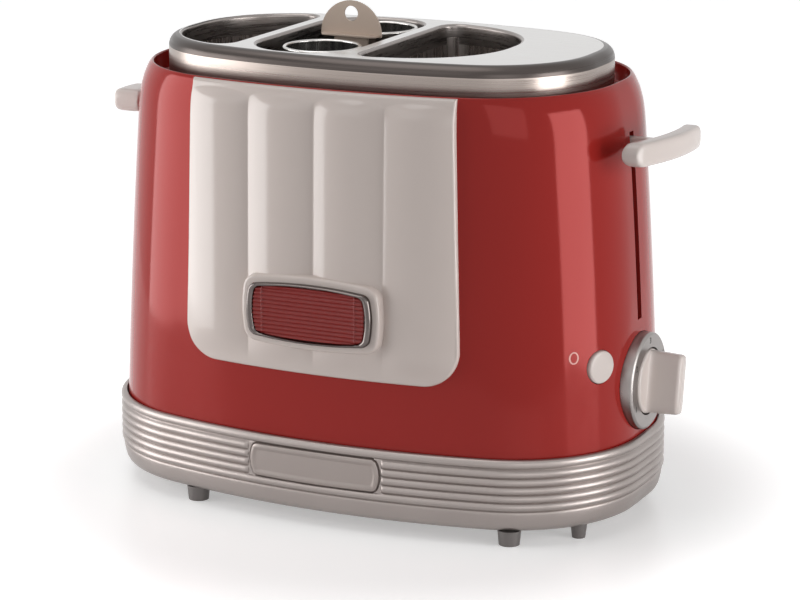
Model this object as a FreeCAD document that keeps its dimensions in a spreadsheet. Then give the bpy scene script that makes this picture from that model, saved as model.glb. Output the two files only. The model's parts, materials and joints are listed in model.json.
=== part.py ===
import FreeCAD, Part
import math
import os
import re

import Sketcher
from FreeCAD import Placement, Rotation, Vector

# Hot dog toaster. Millimetres, +Z up, front towards -Y, control end towards +X.
# The origin is on the table plane, under the middle of the oval base.

doc = FreeCAD.newDocument("hot_dog_toaster")

# ------------------------------------------------------------ driving sizes
driving = {
    # base: an oval wall with ribs, a bead on top and a plain bowl below
    "foot_height": 8.0,
    "base_length": 300.0,
    "base_depth": 182.6,
    "front_radius": 415.0,
    "end_radius": 700.0,
    "corner_share": 0.3943,
    "corner_radius": "base_depth * corner_share",
    "bowl_height": 11.5,
    "bowl_radius": 4.5,
    "rib_pitch": 4.4,
    "rib_count": 5,
    "rib_valley": 0.6,
    "rib_crest": 2.0,
    "bead_height": 5.5,
    "base_wall": 2.4,
    "flange_width": 22.0,
    "flange_thickness": 3.0,
    "shelf_width": 7.0,
    "shelf_thickness": 2.0,
    "shelf_depth": 4.0,
    # shell
    "shell_inset": 1.6,
    "waist_z": 150.0,
    "waist_in_length": 7.2,
    "waist_in_depth": 3.6,
    "waist_length": "base_length - 2 * waist_in_length",
    "waist_depth": "base_depth - 2 * waist_in_depth",
    "shoulder_z": 208.0,
    "shoulder_in_length": 11.5,
    "shoulder_in_depth": 4.7,
    "shoulder_length": "base_length - 2 * shoulder_in_length",
    "shoulder_depth": "base_depth - 2 * shoulder_in_depth",
    "turn_z": 220.0,
    "turn_in_length": 13.0,
    "turn_in_depth": 5.4,
    "turn_length": "base_length - 2 * turn_in_length",
    "turn_depth": "base_depth - 2 * turn_in_depth",
    "rim_z": 232.0,
    "rim_in_length": 18.6,
    "rim_in_depth": 7.6,
    "rim_length": "base_length - 2 * rim_in_length",
    "rim_depth": "base_depth - 2 * rim_in_depth",
    "shell_wall": 2.2,
    "lip": 1.6,
    "ledge_width": 2.6,
    # steel top cover and its openings
    "cover_z": 246.0,
    "cover_end_gap": 9.4,
    "cover_side_gap": 10.9,
    "cover_length": "rim_length - 2 * cover_end_gap",
    "cover_depth": "rim_depth - 2 * cover_side_gap",
    "cover_front_share": 1.5,
    "cover_front_radius": "cover_length * cover_front_share",
    "cover_end_radius": 600.0,
    "cover_corner_share": 0.41209,
    "cover_corner_radius": "cover_depth * cover_corner_share",
    "cover_roll": 3.0,
    "sheet": 0.8,
    "collar_depth": 11.0,
    "wells_left_gap": 6.0,
    "wells_right_gap": 52.0,
    "wells_side_gap": 10.8,
    "wells_x": "(wells_left_gap - wells_right_gap) / 2",
    "wells_length": "cover_length - wells_left_gap - wells_right_gap",
    "wells_depth": "cover_depth - 2 * wells_side_gap",
    "wells_front_share": 1.172043,
    "wells_front_radius": "wells_length * wells_front_share",
    "wells_end_radius": 600.0,
    "wells_corner_share": 0.42742,
    "wells_corner_radius": "wells_depth * wells_corner_share",
    "bridge_left_share": 0.215054,
    "bridge_right_share": 0.142473,
    "bridge_left_x": "wells_x - wells_length * bridge_left_share",
    "bridge_right_x": "wells_x + wells_length * bridge_right_share",
    "bridge_width": 9.0,
    "well_corner": 12.0,
    "centre_left_corner": 26.0,
    "centre_right_corner": 20.0,
    "well_floor_z": 74.0,
    "sleeve_lap": 4.0,
    "bar_slot_width": 8.0,
    # fluted front panel and its badge
    "panel_width_top": 150.0,
    "panel_width_foot": 159.0,
    "panel_foot_z": 82.5,
    "panel_rim_drop": 0.5,
    "panel_corner": 20.0,
    "panel_proud": 2.0,
    "flute_pitch": 38.5,
    "flute_count": 4,
    "flute_rise": 2.8,
    "flute_foot_z": 88.0,
    "flute_top_drop": 6.0,
    "badge_z": 116.0,
    "badge_length": 72.0,
    "badge_height": 31.5,
    "badge_end_bow": 2.6,
    "badge_edge_bow": 2.5,
    "badge_end_border": 3.6,
    "badge_edge_border": 1.6,
    "badge_boss": 3.6,
    "badge_rise": 3.0,
    "badge_plate_rib": 2.2,
    "nameplate_length": 75.0,
    "nameplate_bow": 2.5,
    # levers and carriage
    "lever_z": 201.5,
    "lever_travel": 88.0,
    "lever_height": 12.5,
    "lever_stand": 16.0,
    "lever_reach": "base_length / 2 + lever_stand",
    "lever_half_width": 34.0,
    "lever_shift": -2.0,
    "lever_lean": 4.7,
    "lever_bow": 5.0,
    "lever_thickness": 10.0,
    "lever_corner": 6.5,
    "lever_round": 2.5,
    "left_lever_stand": 15.5,
    "left_lever_reach": "base_length / 2 + left_lever_stand",
    "left_lever_half_width": 13.0,
    "left_lever_bow": 1.5,
    "left_lever_thickness": 17.0,
    "stem_width": 4.4,
    "stem_height": 6.0,
    "stem_lead": 17.0,
    "stem_inner_x": "riser_x + stem_lead",
    "slot_end_gap": 2.5,
    "bar_height": 12.0,
    "bar_thickness": 3.0,
    "bar_top_z": 177.0,
    "tray_thickness": 1.2,
    "tray_gap": 2.0,
    "tray_end_margin": 12.0,
    "slider_stand": 16.0,
    "slider_x": "right_plate_x + slider_stand",
    "slider_width": 60.0,
    "slider_depth": 10.0,
    "slider_height": 16.0,
    "riser_stand": 11.0,
    "riser_x": "slider_x + riser_stand",
    "riser_width": 8.0,
    "left_riser_stand": 5.0,
    "left_riser_x": "left_plate_x - left_riser_stand",
    "left_riser_width": 4.0,
    "rod_radius": 3.0,
    "rod_spacing": 48.0,
    "rod_head_length": 26.0,
    "rod_fit": 0.06,
    "spring_spacing": 26.0,
    "spring_radius": 3.6,
    "spring_wire": 0.5,
    "spring_pitch": 2.6,
    "keeper_length": 14.0,
    "keeper_width": 18.0,
    "keeper_thickness": 2.0,
    # sausage basket
    "basket_gap": 25.8,
    "basket_x": "bridge_right_x - basket_gap",
    "tube_radius": 20.0,
    "tube_rim": 0.9,
    "tube_end_gap": 7.5,
    "tube_spacing": "wells_depth - 2 * (tube_radius + tube_end_gap)",
    "tube_sheet": 0.8,
    "tube_top_z": 245.6,
    "tab_radius": 17.8,
    "tab_hole_radius": 4.1,
    "tab_hole_rise": 10.8,
    "tab_thickness": 1.2,
    "tab_foot_z": 246.8,
    "tab_post_width": 20.0,
    "tab_strip_depth": 10.0,
    "drain_circle": 11.0,
    "drain_radius": 3.0,
    # dial, knob and stop button
    "dial_z": 75.0,
    "dial_radius": 25.7,
    "dial_stand": 1.6,
    "dial_depth": 9.1,
    "dial_face_x": "base_length / 2 + dial_stand",
    "dial_back_x": "dial_face_x - dial_depth",
    "dial_chamfer": 1.0,
    "dial_bore_radius": 18.0,
    "dial_floor": 2.0,
    "knob_radius": 17.3,
    "knob_rise": 1.2,
    "knob_stand": 20.0,
    "knob_edge": 1.5,
    "knob_face_x": "dial_face_x + knob_rise",
    "knob_reach": "base_length / 2 + knob_stand",
    "grip_width": 10.0,
    "grip_length": 33.0,
    "grip_taper": 6.0,
    "grip_lean": 10.0,
    "shaft_radius": 3.0,
    "shaft_fit": 0.08,
    "stop_in": 11.6,
    "stop_side_share": 0.21358,
    "stop_x": "base_length / 2 - stop_in",
    "stop_y": "-base_depth * stop_side_share",
    "stop_z": 91.0,
    "stop_angle": 24.7,
    "stop_radius": 8.7,
    "stop_proud": 2.6,
    "stop_depth": 3.5,
    "stop_stem_radius": 2.5,
    "stop_stem_length": 9.5,
    "stop_travel": 2.0,
    # chassis, heaters and controls
    "floor_thickness": 2.0,
    "floor_lap": 6.0,
    "plate_thickness": 1.2,
    "left_plate_gap": 10.0,
    "left_plate_x": "wells_x - wells_length / 2 - left_plate_gap",
    "left_plate_width": 80.0,
    "right_plate_gap": 12.0,
    "right_plate_x": "wells_x + wells_length / 2 + right_plate_gap",
    "right_plate_width": 112.0,
    "plate_top_z": 214.0,
    "plate_foot": 10.0,
    "frame_inset": 18.0,
    "left_board_gap": 4.6,
    "right_board_gap": 6.0,
    "left_board_x": "left_plate_x + left_board_gap",
    "right_board_x": "right_plate_x - right_board_gap",
    "board_thickness": 0.8,
    "board_width": 84.0,
    "board_top_z": 212.0,
    "ribbon_count": 9,
    "ribbon_width": 2.0,
    "ribbon_thickness": 0.2,
    "louvre_count": 3,
    "louvre_width": 9.0,
    "louvre_pitch": 13.0,
    "louvre_foot_z": 92.0,
    "louvre_top_z": 224.0,
    "magnet_height": 20.0,
    "magnet_width": 18.0,
    "magnet_depth": 14.0,
    "timer_size": 30.0,
    "bracket_stand": 9.0,
    "bracket_x": "riser_x + bracket_stand",
    "bracket_width": 62.0,
    "bracket_shift": -13.0,
    "bracket_top_z": 104.0,
    "circuit_thickness": 1.6,
    "circuit_y": -26.0,
    "circuit_foot_z": 20.0,
    "circuit_width": 36.0,
    "circuit_height": 76.0,
    "circuit_margin": 4.0,
    "relay_width": 14.0,
    "relay_height": 20.0,
    "relay_rise": 10.0,
    "spacer_length": 4.0,
    "switch_size": 10.0,
    "terminal_size": 10.0,
    "terminal_length": 16.0,
    "terminal_stand": 12.0,
    "terminal_y": 40.0,
    "cutout_radius": 6.0,
    "cutout_thickness": 4.0,
    "cutout_y": 30.0,
    "cutout_z": 120.0,
    "crumb_left_gap": 26.0,
    "crumb_right_gap": 22.0,
    "tray_x": "(left_plate_x + right_plate_x + crumb_left_gap - crumb_right_gap) / 2",
    "crumb_length": "right_plate_x - left_plate_x - crumb_left_gap - crumb_right_gap",
    "crumb_depth": 146.0,
    "crumb_wall": 1.0,
    "crumb_top_z": 24.0,
    "grommet_x": 76.0,
    "grommet_in": 15.3,
    "grommet_y": "base_depth / 2 - grommet_in",
    "grommet_length": 12.2,
    "grommet_lip": 2.5,
    "grommet_z": 30.0,
    "grommet_radius": 7.0,
    "cord_radius": 3.5,
    "screw_radius": 1.8,
    "screw_head_radius": 3.4,
    "screw_head_height": 1.6,
    "screw_length": 7.0,
    "screw_in": 6.0,
    "screw_side": 20.0,
    # feet: how far each pair stands in from the ends and the sides
    "foot_radius": 5.5,
    "foot_top_radius": 6.25,
    "end_foot_radius": 3.5,
    "end_foot_top_radius": 4.5,
    "left_foot_in": 72.0,
    "left_foot_side": 16.3,
    "right_foot_in": 47.0,
    "right_foot_side": 20.3,
    "end_foot_in": 19.0,
    "end_foot_side": 46.3,
    # clearances
    "joint_gap": 0.3,
    "slide_gap": 0.6,
}

sheet = doc.addObject("Spreadsheet::Sheet", "sizes")
for row, alias in enumerate(driving, start=1):
    sheet.set(f"A{row}", alias)
    sheet.setAlias(f"B{row}", alias)
for alias, value in driving.items():
    sheet.set(alias, "=" + value if isinstance(value, str) else str(value))
doc.recompute()


def formula(text):
    """A formula over the sheet's aliases, as the document's expressions write it."""
    return re.sub(r"\b[a-z]+(?:_[a-z]+)*\b", lambda m: "sizes." + m[0] if m[0] in driving else m[0], str(text))


def size(text):
    """The present value of such a formula."""
    return float(sheet.evalExpression(formula(text)))


def bind(feature, **formulas):
    """Tie properties of a feature to the sheet; x_, y_, z_ name its placement."""
    paths = {"x": "Placement.Base.x", "y": "Placement.Base.y", "z": "Placement.Base.z"}
    for name, text in formulas.items():
        feature.setExpression(paths.get(name, name), formula(text))
    return feature


# heights and lengths that several pieces share
base_top = "(foot_height + bowl_height + rib_count * rib_pitch + bead_height)"
flange_top = "(foot_height + flange_thickness)"
floor_top = "(foot_height + flange_thickness + floor_thickness)"
shell_foot = f"({base_top} - shelf_depth)"
ledge_top = "(turn_z + shelf_thickness)"
bar_foot = "(bar_top_z - bar_height)"
tray_top = "(bar_top_z + tray_thickness)"
slider_foot = "(bar_top_z - bar_height / 2 - slider_height / 2)"
slider_top = "(bar_top_z - bar_height / 2 + slider_height / 2)"
magnet_top = f"({slider_foot} - keeper_thickness - lever_travel - joint_gap)"
sleeve_top = "(cover_z - collar_depth + sleeve_lap)"
base_radii = ("front_radius", "end_radius", "corner_radius")
cover_radii = ("cover_front_radius", "cover_end_radius", "cover_corner_radius")
wells_radii = ("wells_front_radius", "wells_end_radius", "wells_corner_radius")
stem_foot = "(lever_z - stem_height / 2)"
stem_top = "(lever_z + stem_height / 2)"
name_foot = "(foot_height + bowl_height + rib_pitch)"
name_top = f"({base_top} - bead_height)"

node_objects = []


def node(feature, label):
    """Register a feature as the finished sub-part of that name."""
    feature.Label = label
    node_objects.append(feature)
    return feature


# ------------------------------------------------------------ sketch helpers
def new_body(name):
    return doc.addObject("PartDesign::Body", name)


def new_sketch(body, name, plane="XY_Plane", height="0"):
    """An empty sketch, parallel to one of the body's own origin planes."""
    sketch = body.newObject("Sketcher::SketchObject", name)
    support = next(item for item in body.Origin.OriginFeatures if item.Role == plane)
    sketch.AttachmentSupport = (support, [""])
    sketch.MapMode = "FlatFace"
    sketch.AttachmentOffset = Placement(Vector(0, 0, size(height)), Rotation())
    sketch.setExpression("AttachmentOffset.Base.z", formula(height))
    return sketch


def constrain(sketch, kind, *where, to):
    """One driving dimension, bound to a formula."""
    index = sketch.addConstraint(Sketcher.Constraint(kind, *where, size(to)))
    sketch.setExpression(f"Constraints[{index}]", formula(to))


def outline(sketch, corners, bends=None, hollows=None):
    """
    A closed outline, counter-clockwise, whose corners are pairs of formulas.
    Bends turns an edge into an outward arc of that radius, hollows into an inward one.
    """
    bends, hollows = bends or {}, hollows or {}
    points = [Vector(size(x), size(y), 0) for x, y in corners]
    count = len(points)
    edges, starts, stops = [], [], []
    for i, start in enumerate(points):
        stop = points[(i + 1) % count]
        inward = i in hollows
        starts.append(2 if inward else 1)
        stops.append(1 if inward else 2)
        if not inward and i not in bends:
            edges.append(Part.LineSegment(start, stop))
            continue
        radius = size(hollows[i] if inward else bends[i])
        chord = stop - start
        rise = math.sqrt(radius**2 - chord.Length**2 / 4)
        side = Vector(-chord.y, chord.x, 0).normalize() * (-rise if inward else rise)
        centre = (start + stop) / 2 + side
        first, last = (stop, start) if inward else (start, stop)
        turns = [math.atan2(end.y - centre.y, end.x - centre.x) for end in (first, last)]
        edges.append(Part.ArcOfCircle(Part.Circle(centre, Vector(0, 0, 1), radius), *turns))
    first = sketch.addGeometry(edges, False)[0]
    for i, (x, y) in enumerate(corners):
        after = (i + 1) % count
        joined = (first + i, stops[i], first + after, starts[after])
        sketch.addConstraint(Sketcher.Constraint("Coincident", *joined))
        constrain(sketch, "DistanceX", first + i, starts[i], to=x)
        constrain(sketch, "DistanceY", first + i, starts[i], to=y)
    for i, radius in {**bends, **hollows}.items():
        constrain(sketch, "Radius", first + i, to=radius)


def rectangle(sketch, left, right, low, high):
    outline(sketch, [(left, low), (right, low), (right, high), (left, high)])


def circle(sketch, x, y, radius):
    centre = Vector(size(x), size(y), 0)
    index = sketch.addGeometry(Part.Circle(centre, Vector(0, 0, 1), size(radius)), False)
    constrain(sketch, "Radius", index, to=radius)
    constrain(sketch, "DistanceX", index, 3, to=x)
    constrain(sketch, "DistanceY", index, 3, to=y)


def oval_arcs(reach, depth, front, end, corner, x0=0.0):
    """Centre, radius and turn of the eight tangent arcs of an oval, from the +X end round by +Y."""
    end_x, side_y = reach - end, depth - front
    across = Vector(end_x, -side_y, 0)
    to_side, to_end = front - corner, end - corner
    along = (to_side**2 - to_end**2 + across.Length**2) / (2 * across.Length)
    unit = across / across.Length
    rise = math.sqrt(to_side**2 - along**2)
    middle = Vector(0, side_y, 0) + unit * along + Vector(unit.y, -unit.x, 0) * rise
    side_turn = math.atan2(middle.y - side_y, middle.x)
    end_turn = math.atan2(middle.y, middle.x - end_x)
    half = math.pi
    plan = [
        (end_x, 0, end, -end_turn, end_turn),
        (middle.x, middle.y, corner, end_turn, side_turn),
        (0, side_y, front, side_turn, half - side_turn),
        (-middle.x, middle.y, corner, half - side_turn, half - end_turn),
        (-end_x, 0, end, half - end_turn, half + end_turn),
        (-middle.x, -middle.y, corner, half + end_turn, half + side_turn),
        (0, -side_y, front, half + side_turn, 2 * half - side_turn),
        (middle.x, -middle.y, corner, -side_turn, -end_turn),
    ]
    return [
        Part.ArcOfCircle(Part.Circle(Vector(x0 + x, y, 0), Vector(0, 0, 1), radius), start, stop)
        for x, y, radius, start, stop in plan
    ]


def oval(sketch, half_length, half_depth, radii, inset="0", centre="0"):
    """The oval as a constrained sketch; inset moves the whole outline inwards."""
    front, end, corner = [f"({radius} - ({inset}))" for radius in radii]
    reach, depth = f"({half_length} - ({inset}))", f"({half_depth} - ({inset}))"
    numbers = [size(text) for text in (reach, depth, front, end, corner, centre)]
    first = sketch.addGeometry(oval_arcs(*numbers), False)[0]
    for i in range(8):
        sketch.addConstraint(Sketcher.Constraint("Tangent", first + i, 2, first + (i + 1) % 8, 1))
    for twin in ((0, 4), (2, 6), (1, 3), (1, 5), (1, 7)):
        sketch.addConstraint(Sketcher.Constraint("Equal", first + twin[0], first + twin[1]))
    constrain(sketch, "Radius", first, to=end)
    constrain(sketch, "Radius", first + 2, to=front)
    constrain(sketch, "Radius", first + 1, to=corner)
    for index, x, y in (
        (0, f"{centre} + {reach} - {end}", "0"),
        (4, f"{centre} - {reach} + {end}", "0"),
        (2, centre, f"{depth} - {front}"),
        (6, centre, f"{front} - {depth}"),
    ):
        constrain(sketch, "DistanceX", first + index, 3, to=x)
        constrain(sketch, "DistanceY", first + index, 3, to=y)


# ------------------------------------------------------------ feature helpers
def pad(body, sketch, length, reverse=False, middle=False):
    feature = body.newObject("PartDesign::Pad", "pad")
    feature.Profile = sketch
    feature.Reversed = reverse
    feature.Midplane = middle
    return bind(feature, Length=length)


def pocket(body, sketch, length, reverse=False, middle=False):
    """Cuts against the sketch's normal; reversed, along it."""
    feature = body.newObject("PartDesign::Pocket", "pocket")
    feature.Profile = sketch
    feature.Reversed = reverse
    feature.Midplane = middle
    return bind(feature, Length=length)


def loft(body, sketches, cut=False):
    feature = body.newObject("PartDesign::SubtractiveLoft" if cut else "PartDesign::AdditiveLoft", "loft")
    feature.Profile = sketches[0]
    feature.Sections = sketches[1:]
    feature.Ruled = True
    return feature


def dress(body, kind, amount, choose):
    """Fillet or chamfer the edges of the body that the test picks out."""
    doc.recompute()
    tip = body.Tip
    names = [f"Edge{i}" for i, edge in enumerate(tip.Shape.Edges, start=1) if choose(edge)]
    feature = body.newObject(f"PartDesign::{kind}", kind.lower())
    feature.Base = (tip, names)
    return bind(feature, **{"Radius" if kind == "Fillet" else "Size": amount})


def turned(name, corners, bends=None):
    """A body of revolution about its own Z; corners are pairs of radius and height."""
    body = new_body(name)
    sketch = new_sketch(body, f"{name}_profile", "XZ_Plane")
    outline(sketch, corners, bends)
    feature = body.newObject("PartDesign::Revolution", "revolution")
    feature.Profile = sketch
    feature.ReferenceAxis = (sketch, ["V_Axis"])
    feature.Angle = 360
    return body


def place(feature, x="0", y="0", z="0", turn=None):
    """Placement whose position follows the sheet; the turn is a Rotation."""
    feature.Placement = Placement(Vector(size(x), size(y), size(z)), turn or Rotation())
    return bind(feature, x=x, y=y, z=z)


def box(name, x, y, z):
    """A Part box from pairs of formulas for its low and high faces."""
    feature = doc.addObject("Part::Box", name)
    spans = {"Length": x, "Width": y, "Height": z}
    for side, (low, high) in spans.items():
        feature.setExpression(side, formula(f"({high}) - ({low})"))
    return place(feature, x[0], y[0], z[0])


def cylinder(name, radius, height, x="0", y="0", z="0", turn=None):
    feature = doc.addObject("Part::Cylinder", name)
    bind(feature, Radius=radius, Height=height)
    return place(feature, x, y, z, turn)


def cut(name, base, tool):
    feature = doc.addObject("Part::Cut", name)
    feature.Base = base
    feature.Tool = tool
    return feature


def fuse(name, pieces):
    feature = doc.addObject("Part::MultiFuse", name)
    feature.Shapes = pieces
    return feature


def gather(name, pieces):
    """Separate equal pieces kept side by side in one sub-part."""
    feature = doc.addObject("Part::Compound", name)
    feature.Links = pieces
    return feature


def shaped(name, shape):
    """A sub-part whose shape comes from Part functions that read the sheet."""
    feature = doc.addObject("Part::Feature", name)
    feature.Shape = shape.removeSplitter()
    return place(feature)


def oval_prism(half_length, half_depth, radii, low, high, grow="0", centre="0"):
    """A straight oval solid between two heights, grown outwards by the same distance all round."""
    numbers = [size(f"{text} + ({grow})") for text in (half_length, half_depth, *radii)]
    wire = Part.Wire([arc.toShape() for arc in oval_arcs(*numbers, size(centre))])
    face = Part.Face(wire)
    face.translate(Vector(0, 0, size(low)))
    return face.extrude(Vector(0, 0, size(high) - size(low)))


def block(x, y, z):
    """A Part solid from pairs of formulas for its low and high faces."""
    low, high = [Vector(*(size(pair[i]) for pair in (x, y, z))) for i in (0, 1)]
    span = high - low
    return Part.makeBox(span.x, span.y, span.z, low)


def front_prism(points, near, far):
    """A polygon of X, Z pairs carried along Y between two depths."""
    corners = [Vector(x, near, z) for x, z in points]
    face = Part.Face(Part.makePolygon([*corners, corners[0]]))
    return face.extrude(Vector(0, far - near, 0))


def barrel(length, height, end_bow, edge_bow, middle_z, near, far, grow="0"):
    """A plaque outline with bowed ends and edges, centred on x = 0, carried along Y."""
    half, tall = size(f"{length} / 2 + {grow}"), size(f"{height} / 2 + {grow}")
    side, edge, z = size(end_bow), size(edge_bow), size(middle_z)
    signs = ((1, -1), (1, 1), (-1, 1), (-1, -1))
    corners = [Vector(sx * (half - side), near, z + sz * (tall - edge)) for sx, sz in signs]
    crests = [Vector(x, near, z + h) for x, h in ((half, 0), (0, tall), (-half, 0), (0, -tall))]
    arcs = [Part.Arc(corners[i], crests[i], corners[(i + 1) % 4]).toShape() for i in range(4)]
    return Part.Face(Part.Wire(arcs)).extrude(Vector(0, far - near, 0))


def rounded(shape, radius, choose):
    return shape.makeFillet(radius, [edge for edge in shape.Edges if choose(edge)])


def upright(edge):
    """True for straight edges along Z."""
    return edge.Curve.TypeId == "Part::GeomLine" and abs(edge.tangentAt(edge.FirstParameter).z) > 0.99


# ------------------------------------------------------------ base
def rib_z(index):
    """Height of the lower edge of a rib, counted from the bottom."""
    return f"(foot_height + bowl_height + {index} * rib_pitch)"


skirt_blank = new_body("skirt_blank")
spine = new_sketch(skirt_blank, "skirt_spine", height="foot_height")
oval(spine, "base_length / 2", "base_depth / 2", base_radii)
skirt_profile = new_sketch(skirt_blank, "skirt_profile", "XZ_Plane")
rib_count = int(size("rib_count"))
rise = "(rib_crest - rib_valley)"
rib_radius = f"((rib_pitch ^ 2 / 4 + {rise} ^ 2) / (2 * {rise}))"
wall_steps = [
    ("-flange_width", "foot_height"),
    ("rib_valley - bowl_radius + 0.5", "foot_height"),
    ("rib_valley + 0.5", "foot_height + bowl_radius"),
    ("rib_valley + 1", rib_z(0)),
    *(("rib_valley", rib_z(i)) for i in range(rib_count + 1)),
    ("-shell_inset + joint_gap", base_top),
    ("-shell_inset + joint_gap", shell_foot),
    ("-shelf_width", shell_foot),
    ("-shelf_width", f"{shell_foot} - shelf_thickness"),
    ("-base_wall", f"{shell_foot} - shelf_thickness"),
    ("-base_wall", flange_top),
    ("-flange_width", flange_top),
]
bead = f"(rib_valley + shell_inset - joint_gap)"
bends = {1: "bowl_radius + 0.01", 9: f"({bead} ^ 2 + bead_height ^ 2) ^ 0.5 / 2 + 0.6"}
bends.update({4 + i: rib_radius for i in range(rib_count)})
outline(skirt_profile, [(f"base_length / 2 + {r}", z) for r, z in wall_steps], bends)
skirt_sweep = skirt_blank.newObject("PartDesign::AdditivePipe", "skirt_sweep")
skirt_sweep.Profile = skirt_profile
skirt_sweep.Spine = (spine, [])
skirt_sweep.Mode = "Frenet"
doc.recompute()

crumb_left = "(tray_x - crumb_length / 2)"
crumb_right = "(tray_x + crumb_length / 2)"
crumb_door = block(
    (f"{crumb_left} - joint_gap", f"{crumb_right} + joint_gap"),
    ("0", "base_depth"),
    (floor_top, "crumb_top_z + joint_gap"),
)
name_middle = f"({name_foot} + {name_top}) / 2"
name_height = f"({name_top} - {name_foot})"


def name_prism(grow):
    depth = -size("base_depth")
    return barrel("nameplate_length", name_height, "nameplate_bow", "joint_gap", name_middle, depth, 0, grow)


def base_ring(inner, outer):
    """A band that follows the base outline, between two offsets from it."""
    shell = oval_prism("base_length / 2", "base_depth / 2", base_radii, "foot_height", base_top, outer)
    return shell.cut(oval_prism("base_length / 2", "base_depth / 2", base_radii, "0", "rim_z", inner))


grommet_start = Vector(size("grommet_x"), 0, size("grommet_z"))
grommet_hole = Part.makeCylinder(
    size("grommet_radius + joint_gap"), size("base_depth"), grommet_start, Vector(0, 1, 0)
)
skirt = skirt_blank.Shape.cut(crumb_door).cut(grommet_hole)
skirt = skirt.cut(base_ring("-joint_gap", "rib_crest + joint_gap").common(name_prism("joint_gap")))
node(shaped("base_skirt_shape", skirt), "base_skirt")
node(shaped("nameplate_shape", base_ring("0", "rib_crest - 0.2").common(name_prism("0"))), "nameplate")

base_plan = ("base_length / 2", "base_depth / 2", base_radii)
lip_span = (f"{floor_top} + joint_gap", "crumb_top_z")
lip_block = block((crumb_left, crumb_right), ("base_depth / 4", "base_depth"), lip_span)
lip_block = lip_block.cut(oval_prism(*base_plan, "0", "rim_z", "-base_wall - crumb_wall"))
node(shaped("crumb_lip_shape", skirt_blank.Shape.common(lip_block)), "crumb_tray_lip")

# bottom cover, held on the flange
floor = new_body("bottom_cover_body")
floor_oval = new_sketch(floor, "floor_oval", height=flange_top)
oval(floor_oval, "base_length / 2", "base_depth / 2", base_radii, "flange_width - floor_lap")
pad(floor, floor_oval, "floor_thickness")
screw_sides = ("-screw_side", "screw_side")
screw_spots = [(f"{x} + screw_in", y) for x in ("left_plate_x", "right_plate_x") for y in screw_sides]
floor_holes = new_sketch(floor, "floor_holes", height=floor_top)
for x, y in screw_spots:
    circle(floor_holes, x, y, "screw_radius + joint_gap")
pocket(floor, floor_holes, "floor_thickness")
node(floor, "bottom_cover")

# six tapered feet under the flange
feet = []
for x, y, low, high in (
    ("left_foot_in - base_length / 2", "left_foot_side", "foot_radius", "foot_top_radius"),
    ("base_length / 2 - right_foot_in", "right_foot_side", "foot_radius", "foot_top_radius"),
    ("base_length / 2 - end_foot_in", "end_foot_side", "end_foot_radius", "end_foot_top_radius"),
):
    for place_y in (f"base_depth / 2 - {y}", f"{y} - base_depth / 2"):
        foot = doc.addObject("Part::Cone", "foot")
        bind(foot, Radius1=low, Radius2=high, Height="foot_height")
        feet.append(place(foot, x, place_y))
node(gather("feet_group", feet), "feet")

# ------------------------------------------------------------ shell
shell_levels = [
    (shell_foot, "(base_length / 2 - shell_inset)", "(base_depth / 2 - shell_inset)"),
    ("waist_z", "waist_length / 2", "waist_depth / 2"),
    ("shoulder_z", "shoulder_length / 2", "shoulder_depth / 2"),
    ("turn_z", "turn_length / 2", "turn_depth / 2"),
    ("rim_z", "rim_length / 2", "rim_depth / 2"),
]


def shell_sketches(body, name, levels, inset):
    sketches = []
    for i, (z, half_length, half_depth) in enumerate(levels):
        sketches.append(new_sketch(body, f"{name}_{i}", height=z))
        oval(sketches[-1], half_length, half_depth, base_radii, inset)
    return sketches


shell = new_body("shell_blank")
loft(shell, shell_sketches(shell, "shell_out", shell_levels, "0"))
loft(shell, shell_sketches(shell, "shell_in", shell_levels[:4], "shell_wall"), cut=True)
groove = new_sketch(shell, "groove", height="rim_z")
oval(groove, "rim_length / 2", "rim_depth / 2", base_radii, "lip")
pocket(shell, groove, f"rim_z - {ledge_top}")
ledge = new_sketch(shell, "ledge", height=ledge_top)
oval(ledge, "cover_length / 2", "cover_depth / 2", cover_radii, "ledge_width")
pocket(shell, ledge, "shelf_thickness")
slots = new_sketch(shell, "lever_slots", "YZ_Plane")
slot_half = "(stem_width / 2 + slide_gap)"
slot_foot = f"({stem_foot} - lever_travel - slot_end_gap)"
rectangle(slots, f"-{slot_half}", slot_half, slot_foot, f"{stem_top} + slot_end_gap")
pocket(shell, slots, "2 * base_length", middle=True)

along_x = Rotation(Vector(0, 1, 0), 90)
bore_start = "dial_back_x - 2 * dial_depth"
dial_bore = cylinder(
    "dial_bore", "dial_radius + joint_gap", "4 * dial_depth", bore_start, z="dial_z", turn=along_x
)
out_by_button = Rotation(Vector(0, 0, 1), -size("stop_angle")) * along_x
stop_place = ("stop_x", "stop_y", "stop_z", out_by_button)
stop_bore = cylinder("stop_bore", "stop_radius + joint_gap", "4 * stop_radius", *stop_place)
stop_bore.Placement = stop_bore.Placement * Placement(Vector(0, 0, -size("2 * stop_radius")), Rotation())
for axis in "xyz":
    stop_bore.setExpression(f"Placement.Base.{axis}", None)
whole_shell = cut("outer_shell_cut", shell, fuse("shell_bores", [dial_bore, stop_bore]))
doc.recompute()

# the shell is two mouldings beside the lever slots, joined at the ends by strips above and below the slots
shell_pieces = {
    "shell_front": ("-base_depth", f"-{slot_half}"),
    "shell_back": (slot_half, "base_depth"),
    "shell_end_strips": (f"-{slot_half}", slot_half),
}
for label, span in shell_pieces.items():
    piece = whole_shell.Shape.common(block(("-base_length", "base_length"), span, ("0", "cover_z")))
    node(shaped(f"{label}_shape", piece), label)

# ------------------------------------------------------------ steel top cover
well_bands = {
    "left": ("wells_x - wells_length", "bridge_left_x - bridge_width / 2", None, "well_corner"),
    "centre": (
        "bridge_left_x + bridge_width / 2",
        "bridge_right_x - bridge_width / 2",
        "centre_left_corner",
        "centre_right_corner",
    ),
    "right": ("bridge_right_x + bridge_width / 2", "wells_x + wells_length", "well_corner", None),
}


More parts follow.
